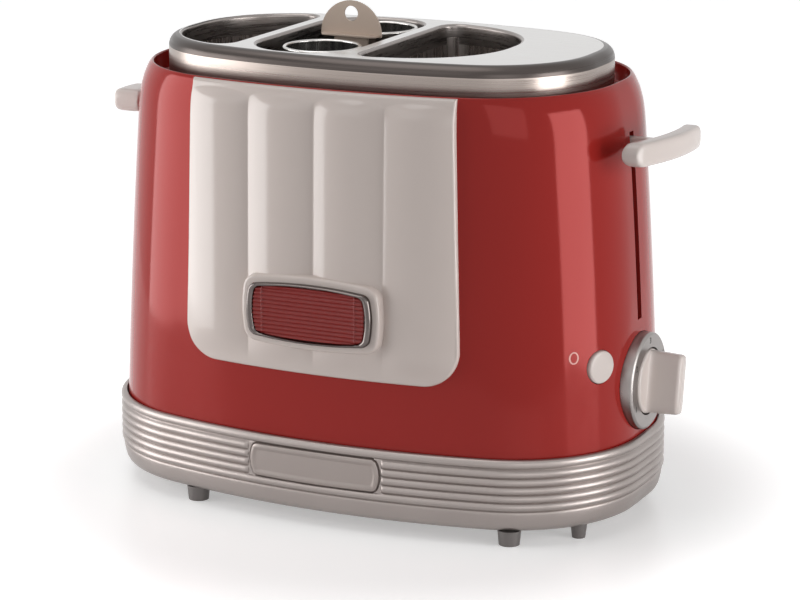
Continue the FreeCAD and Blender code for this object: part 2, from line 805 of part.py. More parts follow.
def well_prism(which, grow, low, high):
    """
    The space of one well, grown by a distance on every side: the shared oval,
    cut off straight beside the bridges, with rounded corners there.
    """
    left, right, left_corner, right_corner = well_bands[which]
    body = oval_prism("wells_length / 2", "wells_depth / 2", wells_radii, low, high, grow, "wells_x")
    span = (f"{left} - ({grow})", f"{right} + ({grow})")
    body = body.common(block(span, ("-wells_depth", "wells_depth"), (low, high)))
    for x, corner in ((left, left_corner), (right, right_corner)):
        if corner:
            flat = size(x) + size(grow) * (1 if x == right else -1)
            radius = size(f"{corner} + ({grow})")
            body = rounded(
                body, radius, lambda edge: upright(edge) and abs(edge.CenterOfMass.x - flat) < 0.01
            )
    return body


cover_plan = ("cover_length / 2", "cover_depth / 2", cover_radii)
cover_top = oval_prism(*cover_plan, ledge_top, "cover_z")
cover_height, cover_roll, sheet_metal = size("cover_z"), size("cover_roll"), size("sheet")
cover_top = rounded(cover_top, cover_roll, lambda edge: abs(edge.BoundBox.ZMin - cover_height) < 0.01)
cover_room = oval_prism(*cover_plan, f"{ledge_top} - 1", "cover_z - sheet", "-sheet")
room_height = cover_height - sheet_metal
cover_room = rounded(
    cover_room, cover_roll - sheet_metal, lambda edge: abs(edge.BoundBox.ZMin - room_height) < 0.01
)
cover = cover_top.cut(cover_room)
for which in well_bands:
    collar = well_prism(which, "sheet", "cover_z - collar_depth", "cover_z - sheet / 2")
    cover = cover.fuse(collar).cut(well_prism(which, "0", "cover_z - 2 * collar_depth", "cover_z + 1"))
node(shaped("top_cover_shape", cover), "top_cover")

# ------------------------------------------------------------ fluted front panel
def shell_form(grow):
    """The solid form of the shell's outside, grown by a distance."""
    wires = []
    for z, half_length, half_depth in shell_levels:
        numbers = [size(f"{text} + {grow}") for text in (half_length, half_depth, *base_radii)]
        wire = Part.Wire([arc.toShape() for arc in oval_arcs(*numbers)])
        wire.translate(Vector(0, 0, size(z)))
        wires.append(wire)
    return Part.makeLoft(wires, True, True)


def front_depth(x, z, grow):
    """
    Y of the shell's front at a point of the front view, grown by a distance. The front is
    straight from the foot to the shoulder.
    """
    low, high = shell_levels[0], shell_levels[2]
    share = (z - size(low[0])) / (size(high[0]) - size(low[0]))
    depth = size(low[2]) * (1 - share) + size(high[2]) * share + grow
    radius = size("front_radius") + grow
    return -depth + radius - math.sqrt(radius**2 - x**2)


panel_top = size("rim_z - panel_rim_drop")
panel_foot = size("panel_foot_z")
half_top, half_foot = size("panel_width_top / 2"), size("panel_width_foot / 2")
far_front = -size("base_depth")
panel_edges = [(-half_foot, panel_foot), (half_foot, panel_foot), (half_top, panel_top), (-half_top, panel_top)]
panel_plan = rounded(
    front_prism(panel_edges, far_front, 0),
    size("panel_corner"),
    lambda edge: abs(edge.tangentAt(0).y) > 0.99 and edge.CenterOfMass.z < panel_foot + 1,
)
panel = shell_form("(joint_gap + panel_proud)").common(panel_plan)
flute_pitch, flute_rise = size("flute_pitch"), size("flute_rise")
flute_radius = (flute_pitch**2 / 4 + flute_rise**2) / (2 * flute_rise)
flute_foot, flute_top = size("flute_foot_z"), size("rim_z - flute_top_drop")
flute_count = int(size("flute_count"))
flutes = []
for i in range(flute_count):
    x = (i - (flute_count - 1) / 2) * flute_pitch
    crests = [Vector(x, front_depth(x, z, size("joint_gap + panel_proud")), z) for z in (flute_foot, flute_top)]
    outward = Vector(x, -math.sqrt(size("front_radius") ** 2 - x**2), 0).normalize()
    axis = crests[1] - crests[0]
    bar = Part.makeCylinder(flute_radius, axis.Length, crests[0] - outward * (flute_radius - flute_rise), axis)
    half = flute_pitch / 2
    corners = [(x - half, flute_foot), (x + half, flute_foot), (x + half, flute_top), (x - half, flute_top)]
    head = rounded(
        front_prism(corners, far_front, 0),
        half * 0.6,
        lambda edge: abs(edge.tangentAt(0).y) > 0.99 and edge.CenterOfMass.z > flute_top - 1,
    )
    flutes.append(bar.common(head))
badge_plan = ("badge_length", "badge_height", "badge_end_bow", "badge_edge_bow", "badge_z")
boss_face = front_depth(0, size("badge_z - badge_height / 2"), size("joint_gap + panel_proud + badge_boss"))
boss = barrel(*badge_plan, boss_face, -size("base_depth") / 3, "badge_boss")
panel = panel.fuse([*flutes, boss]).cut(shell_form("joint_gap"))
node(shaped("front_panel_shape", panel), "front_panel")

# badge: a bowed frame round a ribbed plate, flat on the panel's boss
frame_face = boss_face - size("badge_rise")
badge_field = (
    "(badge_length - 2 * badge_end_border)",
    "(badge_height - 2 * badge_edge_border)",
    "badge_end_bow",
    "badge_edge_bow",
    "badge_z",
)
frame_room = barrel(*badge_field, far_front, 0)
node(shaped("badge_frame_shape", barrel(*badge_plan, frame_face, boss_face).cut(frame_room)), "badge_frame")
plate_face = (boss_face + frame_face) / 2
plate_room = barrel(*badge_field, frame_face + 0.6, boss_face, "-joint_gap")
badge_plate = plate_room.common(block(("-badge_length", "badge_length"), ("-base_depth", "0"), ("0", "cover_z")))
rib_step = size("badge_plate_rib")
low_line = size("badge_z - badge_height / 2 + badge_edge_border")
for i in range(int(size("badge_height - 2 * badge_edge_border") / rib_step) + 1):
    line = low_line + i * rib_step
    half = size("badge_length")
    corners = [(-half, line), (half, line), (half, line + rib_step / 2), (-half, line + rib_step / 2)]
    valley = front_prism(corners, frame_face, plate_face)
    badge_plate = badge_plate.cut(valley)
node(shaped("badge_plate_shape", badge_plate), "badge_plate")

# ------------------------------------------------------------ bun wells
bar_slot = block(
    ("-base_length", "base_length"),
    ("-bar_slot_width / 2", "bar_slot_width / 2"),
    ("0", "bar_top_z + tray_gap"),
)
louvres = []
for i in range(int(size("louvre_count"))):
    near = f"bar_slot_width + {i} * louvre_pitch"
    for low, high in ((near, f"{near} + louvre_width"), (f"-({near} + louvre_width)", f"-({near})")):
        louvres.append(block(("-base_length", "base_length"), (low, high), ("louvre_foot_z", "louvre_top_z")))
for which in well_bands:
    sleeve = well_prism(which, "2 * sheet + joint_gap", "well_floor_z", sleeve_top)
    sleeve = sleeve.cut(well_prism(which, "sheet + joint_gap", "well_floor_z - 1", "cover_z"))
    node(shaped(f"well_{which}_shape", sleeve.cut([bar_slot, *louvres])), f"well_{which}")

frame_plate = oval_prism(*base_plan, "well_floor_z - plate_thickness", "well_floor_z", "-frame_inset")
frame_span = ("left_plate_x + plate_thickness", "right_plate_x")
frame_plate = frame_plate.common(block(frame_span, ("-base_depth", "base_depth"), ("0", "cover_z")))
for which in well_bands:
    frame_plate = frame_plate.cut(well_prism(which, "0", "0", "cover_z"))
node(shaped("well_frame_shape", frame_plate), "well_frame")


# ------------------------------------------------------------ chassis plates and heaters
def end_plate(name, x, width, head=None):
    """An upright plate with a bent foot, and a bent head where one is asked for."""
    body = new_body(name)
    profile = new_sketch(body, f"{name}_profile", "XZ_Plane")
    inner, foot = f"{x} + plate_thickness", f"{x} + plate_foot"
    low = f"{floor_top} + plate_thickness"
    corners = [(x, floor_top), (foot, floor_top), (foot, low), (inner, low)]
    if head:
        corners += [(inner, "plate_top_z - plate_thickness"), (f"{x} + {head}", "plate_top_z - plate_thickness")]
        corners += [(f"{x} + {head}", "plate_top_z"), (x, "plate_top_z")]
    else:
        corners += [(inner, "plate_top_z"), (x, "plate_top_z")]
    outline(profile, corners)
    pad(body, profile, width, middle=True)
    slot = new_sketch(body, f"{name}_slot", "YZ_Plane", x)
    half = "(bar_thickness / 2 + slide_gap)"
    rectangle(slot, f"-{half}", half, f"{bar_foot} - lever_travel - slide_gap", "bar_top_z + slide_gap")
    pocket(body, slot, "3 * plate_thickness", middle=True)
    holes = new_sketch(body, f"{name}_holes", height=low)
    for y in ("-screw_side", "screw_side"):
        circle(holes, f"{x} + screw_in", y, "screw_radius + joint_gap")
    pocket(body, holes, "plate_thickness")
    return body


node(end_plate("left_plate_body", "left_plate_x", "left_plate_width"), "end_plate_left")
node(end_plate("right_plate_body", "right_plate_x", "right_plate_width", "rod_head_length"), "end_plate_right")

boards = {
    "outer_left": "left_board_x",
    "inner_left": "bridge_left_x - board_thickness / 2",
    "inner_right": "bridge_right_x - board_thickness / 2",
    "outer_right": "right_board_x",
}
slot_edge, board_edge = "bar_slot_width / 2", "board_width / 2"
for which, x in boards.items():
    board = new_body(f"board_{which}")
    face = new_sketch(board, f"board_{which}_face", "YZ_Plane")
    outline(face, [
        (f"-{board_edge}", "well_floor_z"),
        (f"-{slot_edge}", "well_floor_z"),
        (f"-{slot_edge}", "bar_top_z + tray_gap"),
        (slot_edge, "bar_top_z + tray_gap"),
        (slot_edge, "well_floor_z"),
        (board_edge, "well_floor_z"),
        (board_edge, "board_top_z"),
        (f"-{board_edge}", "board_top_z"),
    ])
    pad(board, face, "board_thickness")
    place(board, x)
    node(board, f"heater_board_{which}")

ribbons = []
ribbon_count = int(size("ribbon_count"))
for which, x in boards.items():
    faces = []
    if which != "outer_left":
        faces.append((f"{x} - ribbon_thickness", x))
    if which != "outer_right":
        faces.append((f"{x} + board_thickness", f"{x} + board_thickness + ribbon_thickness"))
    for span in faces:
        for i in range(ribbon_count):
            z = f"louvre_foot_z + {i} * (board_top_z - louvre_foot_z) / ribbon_count"
            left_half = (f"-{board_edge} + 4", f"-{slot_edge} - 4")
            for low, high in (left_half, (f"{slot_edge} + 4", f"{board_edge} - 4")):
                ribbons.append(block(span, (low, high), (z, f"{z} + ribbon_width")))
node(shaped("ribbons_shape", Part.makeCompound(ribbons)), "heater_ribbons")

# ------------------------------------------------------------ carriage
bar = new_body("carriage_bar_body")
bar_side = new_sketch(bar, "bar_side", "XZ_Plane")
riser_in, riser_out = "riser_x - riser_width / 2", "riser_x + riser_width / 2"
left_in, left_out = "left_riser_x + left_riser_width / 2", "left_riser_x - left_riser_width / 2"
outline(bar_side, [
    (left_out, bar_foot),
    (riser_out, bar_foot),
    (riser_out, stem_foot),
    ("stem_inner_x", stem_foot),
    ("stem_inner_x", stem_top),
    (riser_in, stem_top),
    (riser_in, "bar_top_z"),
    (left_in, "bar_top_z"),
    (left_in, stem_top),
    (left_out, stem_top),
])
pad(bar, bar_side, "bar_thickness", middle=True)
node(bar, "carriage_bar")


def lever(name, reach, half_width, bow, thickness, inner, shift="0", lean="0"):
    """
    A bowed paddle on a flat stem; it points along +X. The paddle may stand off the middle
    by a shift, and lean so that one of its ends stands further out.
    """
    body = new_body(name)
    plan = new_sketch(body, f"{name}_plan", height="lever_z - lever_height / 2")
    front, rear = f"{reach} - {bow}", f"{reach} - {bow} - {thickness}"
    radius = f"(({half_width} ^ 2 + {bow} ^ 2) / (2 * {bow}))"
    low_end, high_end = f"{shift} - {half_width}", f"{shift} + {half_width}"
    corners = [
        (f"{rear} - {lean}", low_end),
        (f"{front} - {lean}", low_end),
        (f"{front} + {lean}", high_end),
        (f"{rear} + {lean}", high_end),
    ]
    outline(plan, corners, {1: radius}, {3: radius})
    pad(body, plan, "lever_height")
    middle, slope = size(f"{reach} - {bow} - {thickness} / 2"), size(f"{lean} / {half_width}")

    def outer(edge):
        spot = edge.CenterOfMass
        return spot.x - slope * (spot.y - size(shift)) > middle

    dress(body, "Fillet", "lever_corner", lambda edge: upright(edge) and outer(edge))
    dress(body, "Fillet", "lever_round", lambda edge: upright(edge) and not outer(edge))
    half = size("lever_height / 2") - 0.01
    dress(body, "Fillet", "lever_round", lambda edge: edge.BoundBox.ZLength < 0.01
          and abs(edge.CenterOfMass.z - size("lever_z")) > half)
    stem = new_sketch(body, f"{name}_stem", height=stem_foot)
    rectangle(stem, inner, f"{reach} - {thickness} + 1", "-stem_width / 2", "stem_width / 2")
    pad(body, stem, "stem_height")
    return body


right_sizes = ("lever_reach", "lever_half_width", "lever_bow", "lever_thickness", "stem_inner_x")
node(lever("right_lever", *right_sizes, "lever_shift", "lever_lean"), "lever_right")
left_inner = "(left_riser_width / 2 - left_riser_x)"
left_lever = lever(
    "left_lever", "left_lever_reach", "left_lever_half_width", "left_lever_bow", "left_lever_thickness", left_inner
)
node(place(left_lever, turn=Rotation(Vector(0, 0, 1), 180)), "lever_left")

for which, label in (("left", "lift_tray_left"), ("centre", "basket_rest"), ("right", "lift_tray_right")):
    tray = well_prism(which, "-tray_gap", "bar_top_z", tray_top)
    span, margin, width = tray.BoundBox, size("tray_end_margin"), size("louvre_width")
    for i in range(2):
        near = size(f"bar_slot_width + {i} * louvre_pitch")
        for y in (near, -near - width):
            corner = Vector(span.XMin + margin, y, span.ZMin - margin)
            tray = tray.cut(Part.makeBox(span.XLength - 2 * margin, width, 2 * margin, corner))
    node(shaped(f"{label}_shape", tray), label)

slider = new_body("slider_body")
slider_plan = new_sketch(slider, "slider_plan", height=slider_foot)
slider_in, slider_out = "slider_x - slider_depth / 2", "slider_x + slider_depth / 2"
rectangle(slider_plan, slider_in, slider_out, "-slider_width / 2", "slider_width / 2")
for y in ("-rod_spacing / 2", "rod_spacing / 2"):
    circle(slider_plan, "slider_x", y, "rod_radius + rod_fit")
pad(slider, slider_plan, "slider_height")
window = new_sketch(slider, "slider_window", "YZ_Plane", "slider_x")
rectangle(window, "-bar_thickness / 2", "bar_thickness / 2", bar_foot, "bar_top_z")
pocket(slider, window, "2 * slider_depth", middle=True)
node(slider, "carriage_slider")
keeper_x = ("slider_x - keeper_length / 2", "slider_x + keeper_length / 2")
keeper_y = ("-keeper_width / 2", "keeper_width / 2")
node(box("keeper_box", keeper_x, keeper_y, (f"{slider_foot} - keeper_thickness", slider_foot)), "keeper")

rod_height = f"plate_top_z - plate_thickness - {floor_top}"
rods = []
for side in ("", "-"):
    rods.append(cylinder("guide_rod", "rod_radius", rod_height, "slider_x", f"{side}rod_spacing / 2", floor_top))
node(gather("guide_rod_pair", rods), "guide_rods")

spring_top = size("plate_top_z - plate_thickness")
spring_foot, spring_wire = size(slider_top), size("spring_wire")
coils = []
for side in (-1, 1):
    helix = Part.makeHelix(size("spring_pitch"), spring_top - spring_foot - 2 * spring_wire, size("spring_radius"))
    start = Vector(size("spring_radius"), 0, 0)
    wire = Part.Wire([Part.makeCircle(spring_wire, start, Vector(0, 1, 0.1))])
    coil = Part.Wire(helix.Edges).makePipeShell([wire], True, True)
    coil.translate(Vector(size("slider_x"), side * size("spring_spacing / 2"), spring_foot + spring_wire))
    coils.append(coil)
springs = doc.addObject("Part::Feature", "springs_shape")
springs.Shape = Part.makeCompound(coils)
node(place(springs), "return_springs")

magnet_x = ("slider_x - magnet_depth / 2", "slider_x + magnet_depth / 2")
magnet_y = ("-magnet_width / 2", "magnet_width / 2")
magnet_foot = f"({magnet_top} - magnet_height)"
coil_y = ("-magnet_width / 6", "magnet_width / 6")
coil_room = box("coil_room", magnet_x, coil_y, (f"{magnet_foot} + 5", f"{magnet_top} + 1"))
magnet_block = box("magnet_block", magnet_x, magnet_y, (magnet_foot, magnet_top))
node(cut("magnet_core", magnet_block, coil_room), "electromagnet")
post_x = ("slider_x - magnet_depth / 2 + 2", "slider_x + magnet_depth / 2 - 2")
post_y = ("-magnet_width / 3", "magnet_width / 3")
node(box("post_box", post_x, post_y, (floor_top, magnet_foot)), "magnet_post")

# ------------------------------------------------------------ sausage basket
floor_of_basket = f"({tray_top} + tube_sheet)"
tubes = []
for side in ("", "-"):
    tube = turned(f"tube_{len(tubes)}", [
        ("tube_radius - tube_sheet", floor_of_basket),
        ("tube_radius", floor_of_basket),
        ("tube_radius", "tube_top_z - 2 * tube_rim"),
        ("tube_radius + tube_rim", "tube_top_z - tube_rim"),
        ("tube_radius + tube_rim / 2", "tube_top_z"),
        ("tube_radius - tube_sheet", "tube_top_z"),
    ])
    tubes.append(place(tube, "basket_x", f"{side}tube_spacing / 2"))
node(gather("tube_pair", tubes), "basket_tubes")

basket_x, tube_spacing, tube_radius = size("basket_x"), size("tube_spacing"), size("tube_radius")
basket_low, basket_sheet = size(tray_top), size("tube_sheet")
strip_half, drain_circle = size("tab_post_width / 2"), size("drain_circle")
basket_floor = Part.makeBox(
    2 * strip_half, tube_spacing, basket_sheet, Vector(basket_x - strip_half, -tube_spacing / 2, basket_low)
)
for y in (-tube_spacing / 2, tube_spacing / 2):
    basket_floor = basket_floor.fuse(Part.makeCylinder(tube_radius, basket_sheet, Vector(basket_x, y, basket_low)))
    for i in range(6):
        turn = math.radians(60 * i + 30)
        hole = Vector(basket_x + drain_circle * math.cos(turn), y + drain_circle * math.sin(turn), basket_low)
        basket_floor = basket_floor.cut(Part.makeCylinder(size("drain_radius"), basket_sheet, hole))
node(shaped("basket_floor_shape", basket_floor), "basket_floor")

tab = new_body("basket_tab_body")
tab_face = new_sketch(tab, "tab_face", "XZ_Plane")
outline(tab_face, [
    ("-tab_post_width / 2", floor_of_basket),
    ("tab_post_width / 2", floor_of_basket),
    ("tab_post_width / 2", "tab_foot_z"),
    ("tab_radius", "tab_foot_z"),
    ("0", "tab_foot_z + tab_radius"),
    ("-tab_radius", "tab_foot_z"),
    ("-tab_post_width / 2", "tab_foot_z"),
], {3: "tab_radius", 4: "tab_radius"})
circle(tab_face, "0", "tab_foot_z + tab_hole_rise", "tab_hole_radius")
pad(tab, tab_face, "tab_thickness", middle=True)
strip = new_sketch(tab, "tab_strip", height="tab_foot_z - tab_thickness")
rectangle(strip, "-tab_radius", "tab_radius", "-tab_strip_depth / 2", "tab_strip_depth / 2")
pad(tab, strip, "tab_thickness")
place(tab, "basket_x")
node(tab, "basket_tab")

# ------------------------------------------------------------ dial, knob and timer
ring = turned("dial_ring_body", [
    ("shaft_radius + slide_gap", "0"),
    ("dial_radius", "0"),
    ("dial_radius", "dial_depth - dial_chamfer"),
    ("dial_radius - dial_chamfer", "dial_depth"),
    ("dial_bore_radius", "dial_depth"),
    ("dial_bore_radius", "dial_floor"),
    ("shaft_radius + slide_gap", "dial_floor"),
])
node(place(ring, "dial_back_x", "0", "dial_z", along_x), "dial_ring")

knob_back = "(dial_back_x + dial_floor + slide_gap)"
knob_depth = f"(knob_face_x - {knob_back})"
knob = turned("knob_body", [
    ("0", "0"),
    ("knob_radius", "0"),
    ("knob_radius", f"{knob_depth} - knob_edge"),
    ("knob_radius - knob_edge", knob_depth),
    ("0", knob_depth),
])
grip = new_sketch(knob, "knob_grip", height=f"{knob_depth} - 0.5")
rectangle(grip, "-grip_length / 2", "grip_length / 2", "-grip_width / 2", "grip_width / 2")
grip_pad = pad(knob, grip, "knob_reach - knob_face_x + 0.5")
bind(grip_pad, TaperAngle="-grip_taper")
grip_end = size(f"{knob_depth} + knob_reach - knob_face_x")
dress(knob, "Fillet", "knob_edge", lambda edge: edge.CenterOfMass.z > grip_end - 0.01)
knob_bore = new_sketch(knob, "knob_bore")
circle(knob_bore, "0", "0", "shaft_radius + shaft_fit")
pocket(knob, knob_bore, "knob_radius", reverse=True)
leaning = Rotation(Vector(1, 0, 0), -size("grip_lean")) * along_x
node(place(knob, knob_back, "0", "dial_z", leaning), "timer_knob")

timer_in, timer_y = "(bracket_x + plate_thickness)", ("-timer_size / 2", "timer_size / 2")
timer_z = ("dial_z - timer_size / 2", "dial_z + timer_size / 2")
timer_box = box("timer_box", (timer_in, "dial_back_x"), timer_y, timer_z)
timer_bore = cylinder(
    "timer_bore", "shaft_radius + shaft_fit", "timer_size", f"{timer_in} + 6", "0", "dial_z", along_x
)
node(cut("timer_cut", timer_box, timer_bore), "timer_unit")
shaft_start = f"({timer_in} + 7)"
shaft_length = f"({knob_back} + knob_radius - 1 - {shaft_start})"
node(cylinder("shaft_rod", "shaft_radius", shaft_length, shaft_start, "0", "dial_z", along_x), "timer_shaft")

bracket = new_body("bracket_body")
bracket_side = new_sketch(bracket, "bracket_side", "XZ_Plane", "-bracket_shift")
outline(bracket_side, [
    ("bracket_x", floor_top),
    ("bracket_x + plate_foot", floor_top),
    ("bracket_x + plate_foot", f"{floor_top} + plate_thickness"),
    (timer_in, f"{floor_top} + plate_thickness"),
    (timer_in, "bracket_top_z"),
    ("bracket_x", "bracket_top_z"),
])
pad(bracket, bracket_side, "bracket_width", middle=True)
node(bracket, "control_bracket")

circuit = new_body("circuit_body")
circuit_face = new_sketch(circuit, "circuit_face", "YZ_Plane", "bracket_x - spacer_length - circuit_thickness")
circuit_low, circuit_high = "circuit_foot_z", "(circuit_foot_z + circuit_height)"
circuit_near, circuit_far = "(circuit_y - circuit_width / 2)", "(circuit_y + circuit_width / 2)"
rectangle(circuit_face, circuit_near, circuit_far, circuit_low, circuit_high)
pad(circuit, circuit_face, "circuit_thickness")
spacers = new_sketch(circuit, "circuit_spacers", "YZ_Plane", "bracket_x - spacer_length")
for y in (f"{circuit_near} + circuit_margin", f"{circuit_far} - circuit_margin"):
    for z in (f"{circuit_low} + circuit_margin", f"{circuit_high} - circuit_margin"):
        circle(spacers, y, z, "circuit_margin / 2")
pad(circuit, spacers, "spacer_length")
relays = new_sketch(circuit, "circuit_relays", "YZ_Plane", "bracket_x - spacer_length - circuit_thickness")
relay_low, relay_near = f"({circuit_low} + relay_rise)", f"({circuit_near} + circuit_margin)"
relay_far = f"({circuit_far} - circuit_margin)"
relay_mid = f"({circuit_low} + circuit_height / 2 + circuit_margin)"
rectangle(relays, relay_near, f"{relay_near} + relay_width", relay_low, f"{relay_low} + relay_height")
rectangle(relays, f"{relay_far} - 0.7 * relay_width", relay_far, relay_low, f"{relay_low} + 0.7 * relay_height")
relay_span = (f"{relay_near} + circuit_margin", f"{relay_far} - circuit_margin")
rectangle(relays, *relay_span, relay_mid, f"{relay_mid} + relay_rise")
pad(circuit, relays, "1.5 * spacer_length", reverse=True)
node(circuit, "control_board")

# ------------------------------------------------------------ stop button and small parts
button = turned("stop_button_body", [
    ("0", "-stop_depth - stop_stem_length"),
    ("stop_stem_radius", "-stop_depth - stop_stem_length"),
    ("stop_stem_radius", "-stop_depth"),
    ("stop_radius", "-stop_depth"),
    ("stop_radius", "stop_proud - 1"),
    ("stop_radius - 1", "stop_proud"),
    ("0", "stop_proud"),
])
node(place(button, "stop_x", "stop_y", "stop_z", out_by_button), "stop_button")

stop_point = Vector(size("stop_x"), size("stop_y"), size("stop_z"))
stop_axis = out_by_button.multVec(Vector(0, 0, 1))
switch_half = size("switch_size / 2")
stem_depth = size("stop_depth + stop_stem_length - 0.8")
switch_side = Vector(-stop_axis.y, stop_axis.x, 0) * switch_half
switch_corners = []
for side in (switch_side * -1, switch_side):
    corner = stop_point - stop_axis * stem_depth + side
    switch_corners.append((corner, corner - stop_axis * ((corner.x - size(timer_in)) / stop_axis.x)))
(low_front, low_back), (high_front, high_back) = switch_corners
switch_face = Part.Face(Part.makePolygon([low_back, low_front, high_front, high_back, low_back]))
switch_face.translate(Vector(0, 0, -switch_half))
switch_bore = Part.makeCylinder(
    size("stop_stem_radius + joint_gap"),
    size("stop_travel + 2"),
    stop_point - stop_axis * (stem_depth - 0.5),
    stop_axis * -1,
)
node(shaped("switch_shape", switch_face.extrude(Vector(0, 0, 2 * switch_half)).cut(switch_bore)), "stop_switch")

terminal_x = ("right_plate_x + terminal_stand", "right_plate_x + terminal_stand + terminal_length")
terminal_y, terminal_z = ("terminal_y", "terminal_y + terminal_size"), (floor_top, f"{floor_top} + terminal_size")
node(box("terminal_box", terminal_x, terminal_y, terminal_z), "terminal_block")
cutout_x = "right_plate_x + plate_thickness"
cutout_place = (cutout_x, "cutout_y", "cutout_z", along_x)
node(cylinder("cutout_disc", "cutout_radius", "cutout_thickness", *cutout_place), "thermal_cutout")

grommet = turned("grommet_body", [
    ("cord_radius", "0"),
    ("grommet_radius", "0"),
    ("grommet_radius", "grommet_length"),
    ("grommet_radius + grommet_lip", "grommet_length"),
    ("grommet_radius + grommet_lip", "grommet_length + grommet_lip"),
    ("cord_radius", "grommet_length + grommet_lip"),
])
along_y = Rotation(Vector(1, 0, 0), -90)
node(place(grommet, "grommet_x", "grommet_y", "grommet_z", along_y), "cord_grommet")

crumb_low = (f"{crumb_left} + joint_gap", f"{crumb_right} - joint_gap")
crumb_span = ("-crumb_depth / 2", "base_depth")
crumb = block(crumb_low, crumb_span, (floor_top, "crumb_top_z - joint_gap"))
crumb_limit = ("base_length / 2", "base_depth / 2", base_radii, "0", "rim_z")
crumb = crumb.common(oval_prism(*crumb_limit, "-base_wall - joint_gap"))
crumb_room = block(
    (f"{crumb_left} + joint_gap + crumb_wall", f"{crumb_right} - joint_gap - crumb_wall"),
    ("-crumb_depth / 2 + crumb_wall", "base_depth"),
    (f"{floor_top} + crumb_wall", "rim_z"),
).common(oval_prism(*crumb_limit, "-base_wall - joint_gap - crumb_wall"))
node(shaped("crumb_tray_shape", crumb.cut(crumb_room)), "crumb_tray")

screws = []
for x, y in screw_spots:
    spot = Vector(size(x), size(y), size(flange_top))
    shank = Part.makeCylinder(size("screw_radius"), size("screw_length"), spot)
    head_height = size("screw_head_height")
    head = Part.makeCylinder(size("screw_head_radius"), head_height, spot - Vector(0, 0, head_height))
    screws.append(shank.fuse(head).removeSplitter())
node(shaped("screws_shape", Part.makeCompound(screws)), "floor_screws")

# ------------------------------------------------------------ checks and export
doc.recompute()
for item in doc.Objects:
    if "Invalid" in item.State or "Error" in item.State:
        raise RuntimeError(f"{item.Name} did not rebuild: {item.State}")
os.makedirs("parts", exist_ok=True)
for item in node_objects:
    shape = item.Shape
    if shape.isNull() or not shape.isValid():
        raise RuntimeError(f"{item.Label} has no valid shape")
    shape.exportStep(f"parts/{item.Label}.step")
    reach = shape.optimalBoundingBox(False)
    low, high = (reach.XMin, reach.YMin, reach.ZMin), (reach.XMax, reach.YMax, reach.ZMax)
    spans = "  ".join(f"{a:.1f}..{b:.1f}" for a, b in zip(low, high))
    print(f"{item.Label:24} solids {len(shape.Solids):3}  volume {shape.Volume / 1000:8.2f} cm3  {spans}")
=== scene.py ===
import json
import math

import bmesh
import bpy
import numpy as np
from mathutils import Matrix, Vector


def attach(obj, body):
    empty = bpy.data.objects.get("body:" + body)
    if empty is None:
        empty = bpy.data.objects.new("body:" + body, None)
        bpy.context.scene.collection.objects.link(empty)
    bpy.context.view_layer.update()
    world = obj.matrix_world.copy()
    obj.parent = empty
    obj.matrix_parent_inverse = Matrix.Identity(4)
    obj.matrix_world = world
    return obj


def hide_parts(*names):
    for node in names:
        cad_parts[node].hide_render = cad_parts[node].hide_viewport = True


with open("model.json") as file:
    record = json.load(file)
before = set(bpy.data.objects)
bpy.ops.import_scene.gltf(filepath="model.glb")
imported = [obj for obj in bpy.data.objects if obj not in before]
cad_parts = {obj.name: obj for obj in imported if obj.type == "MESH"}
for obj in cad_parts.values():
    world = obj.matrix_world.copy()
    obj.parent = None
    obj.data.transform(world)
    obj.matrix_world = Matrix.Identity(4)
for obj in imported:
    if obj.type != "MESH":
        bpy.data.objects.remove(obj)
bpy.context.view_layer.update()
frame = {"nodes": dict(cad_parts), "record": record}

# Hot dog toaster. Shapes are worked out in millimetres in the frame of the solids,
# and scaled to metres as they become meshes.
unit = 0.001


# Ovals: eight tangent arcs, addressed by the turn of their outward normal.

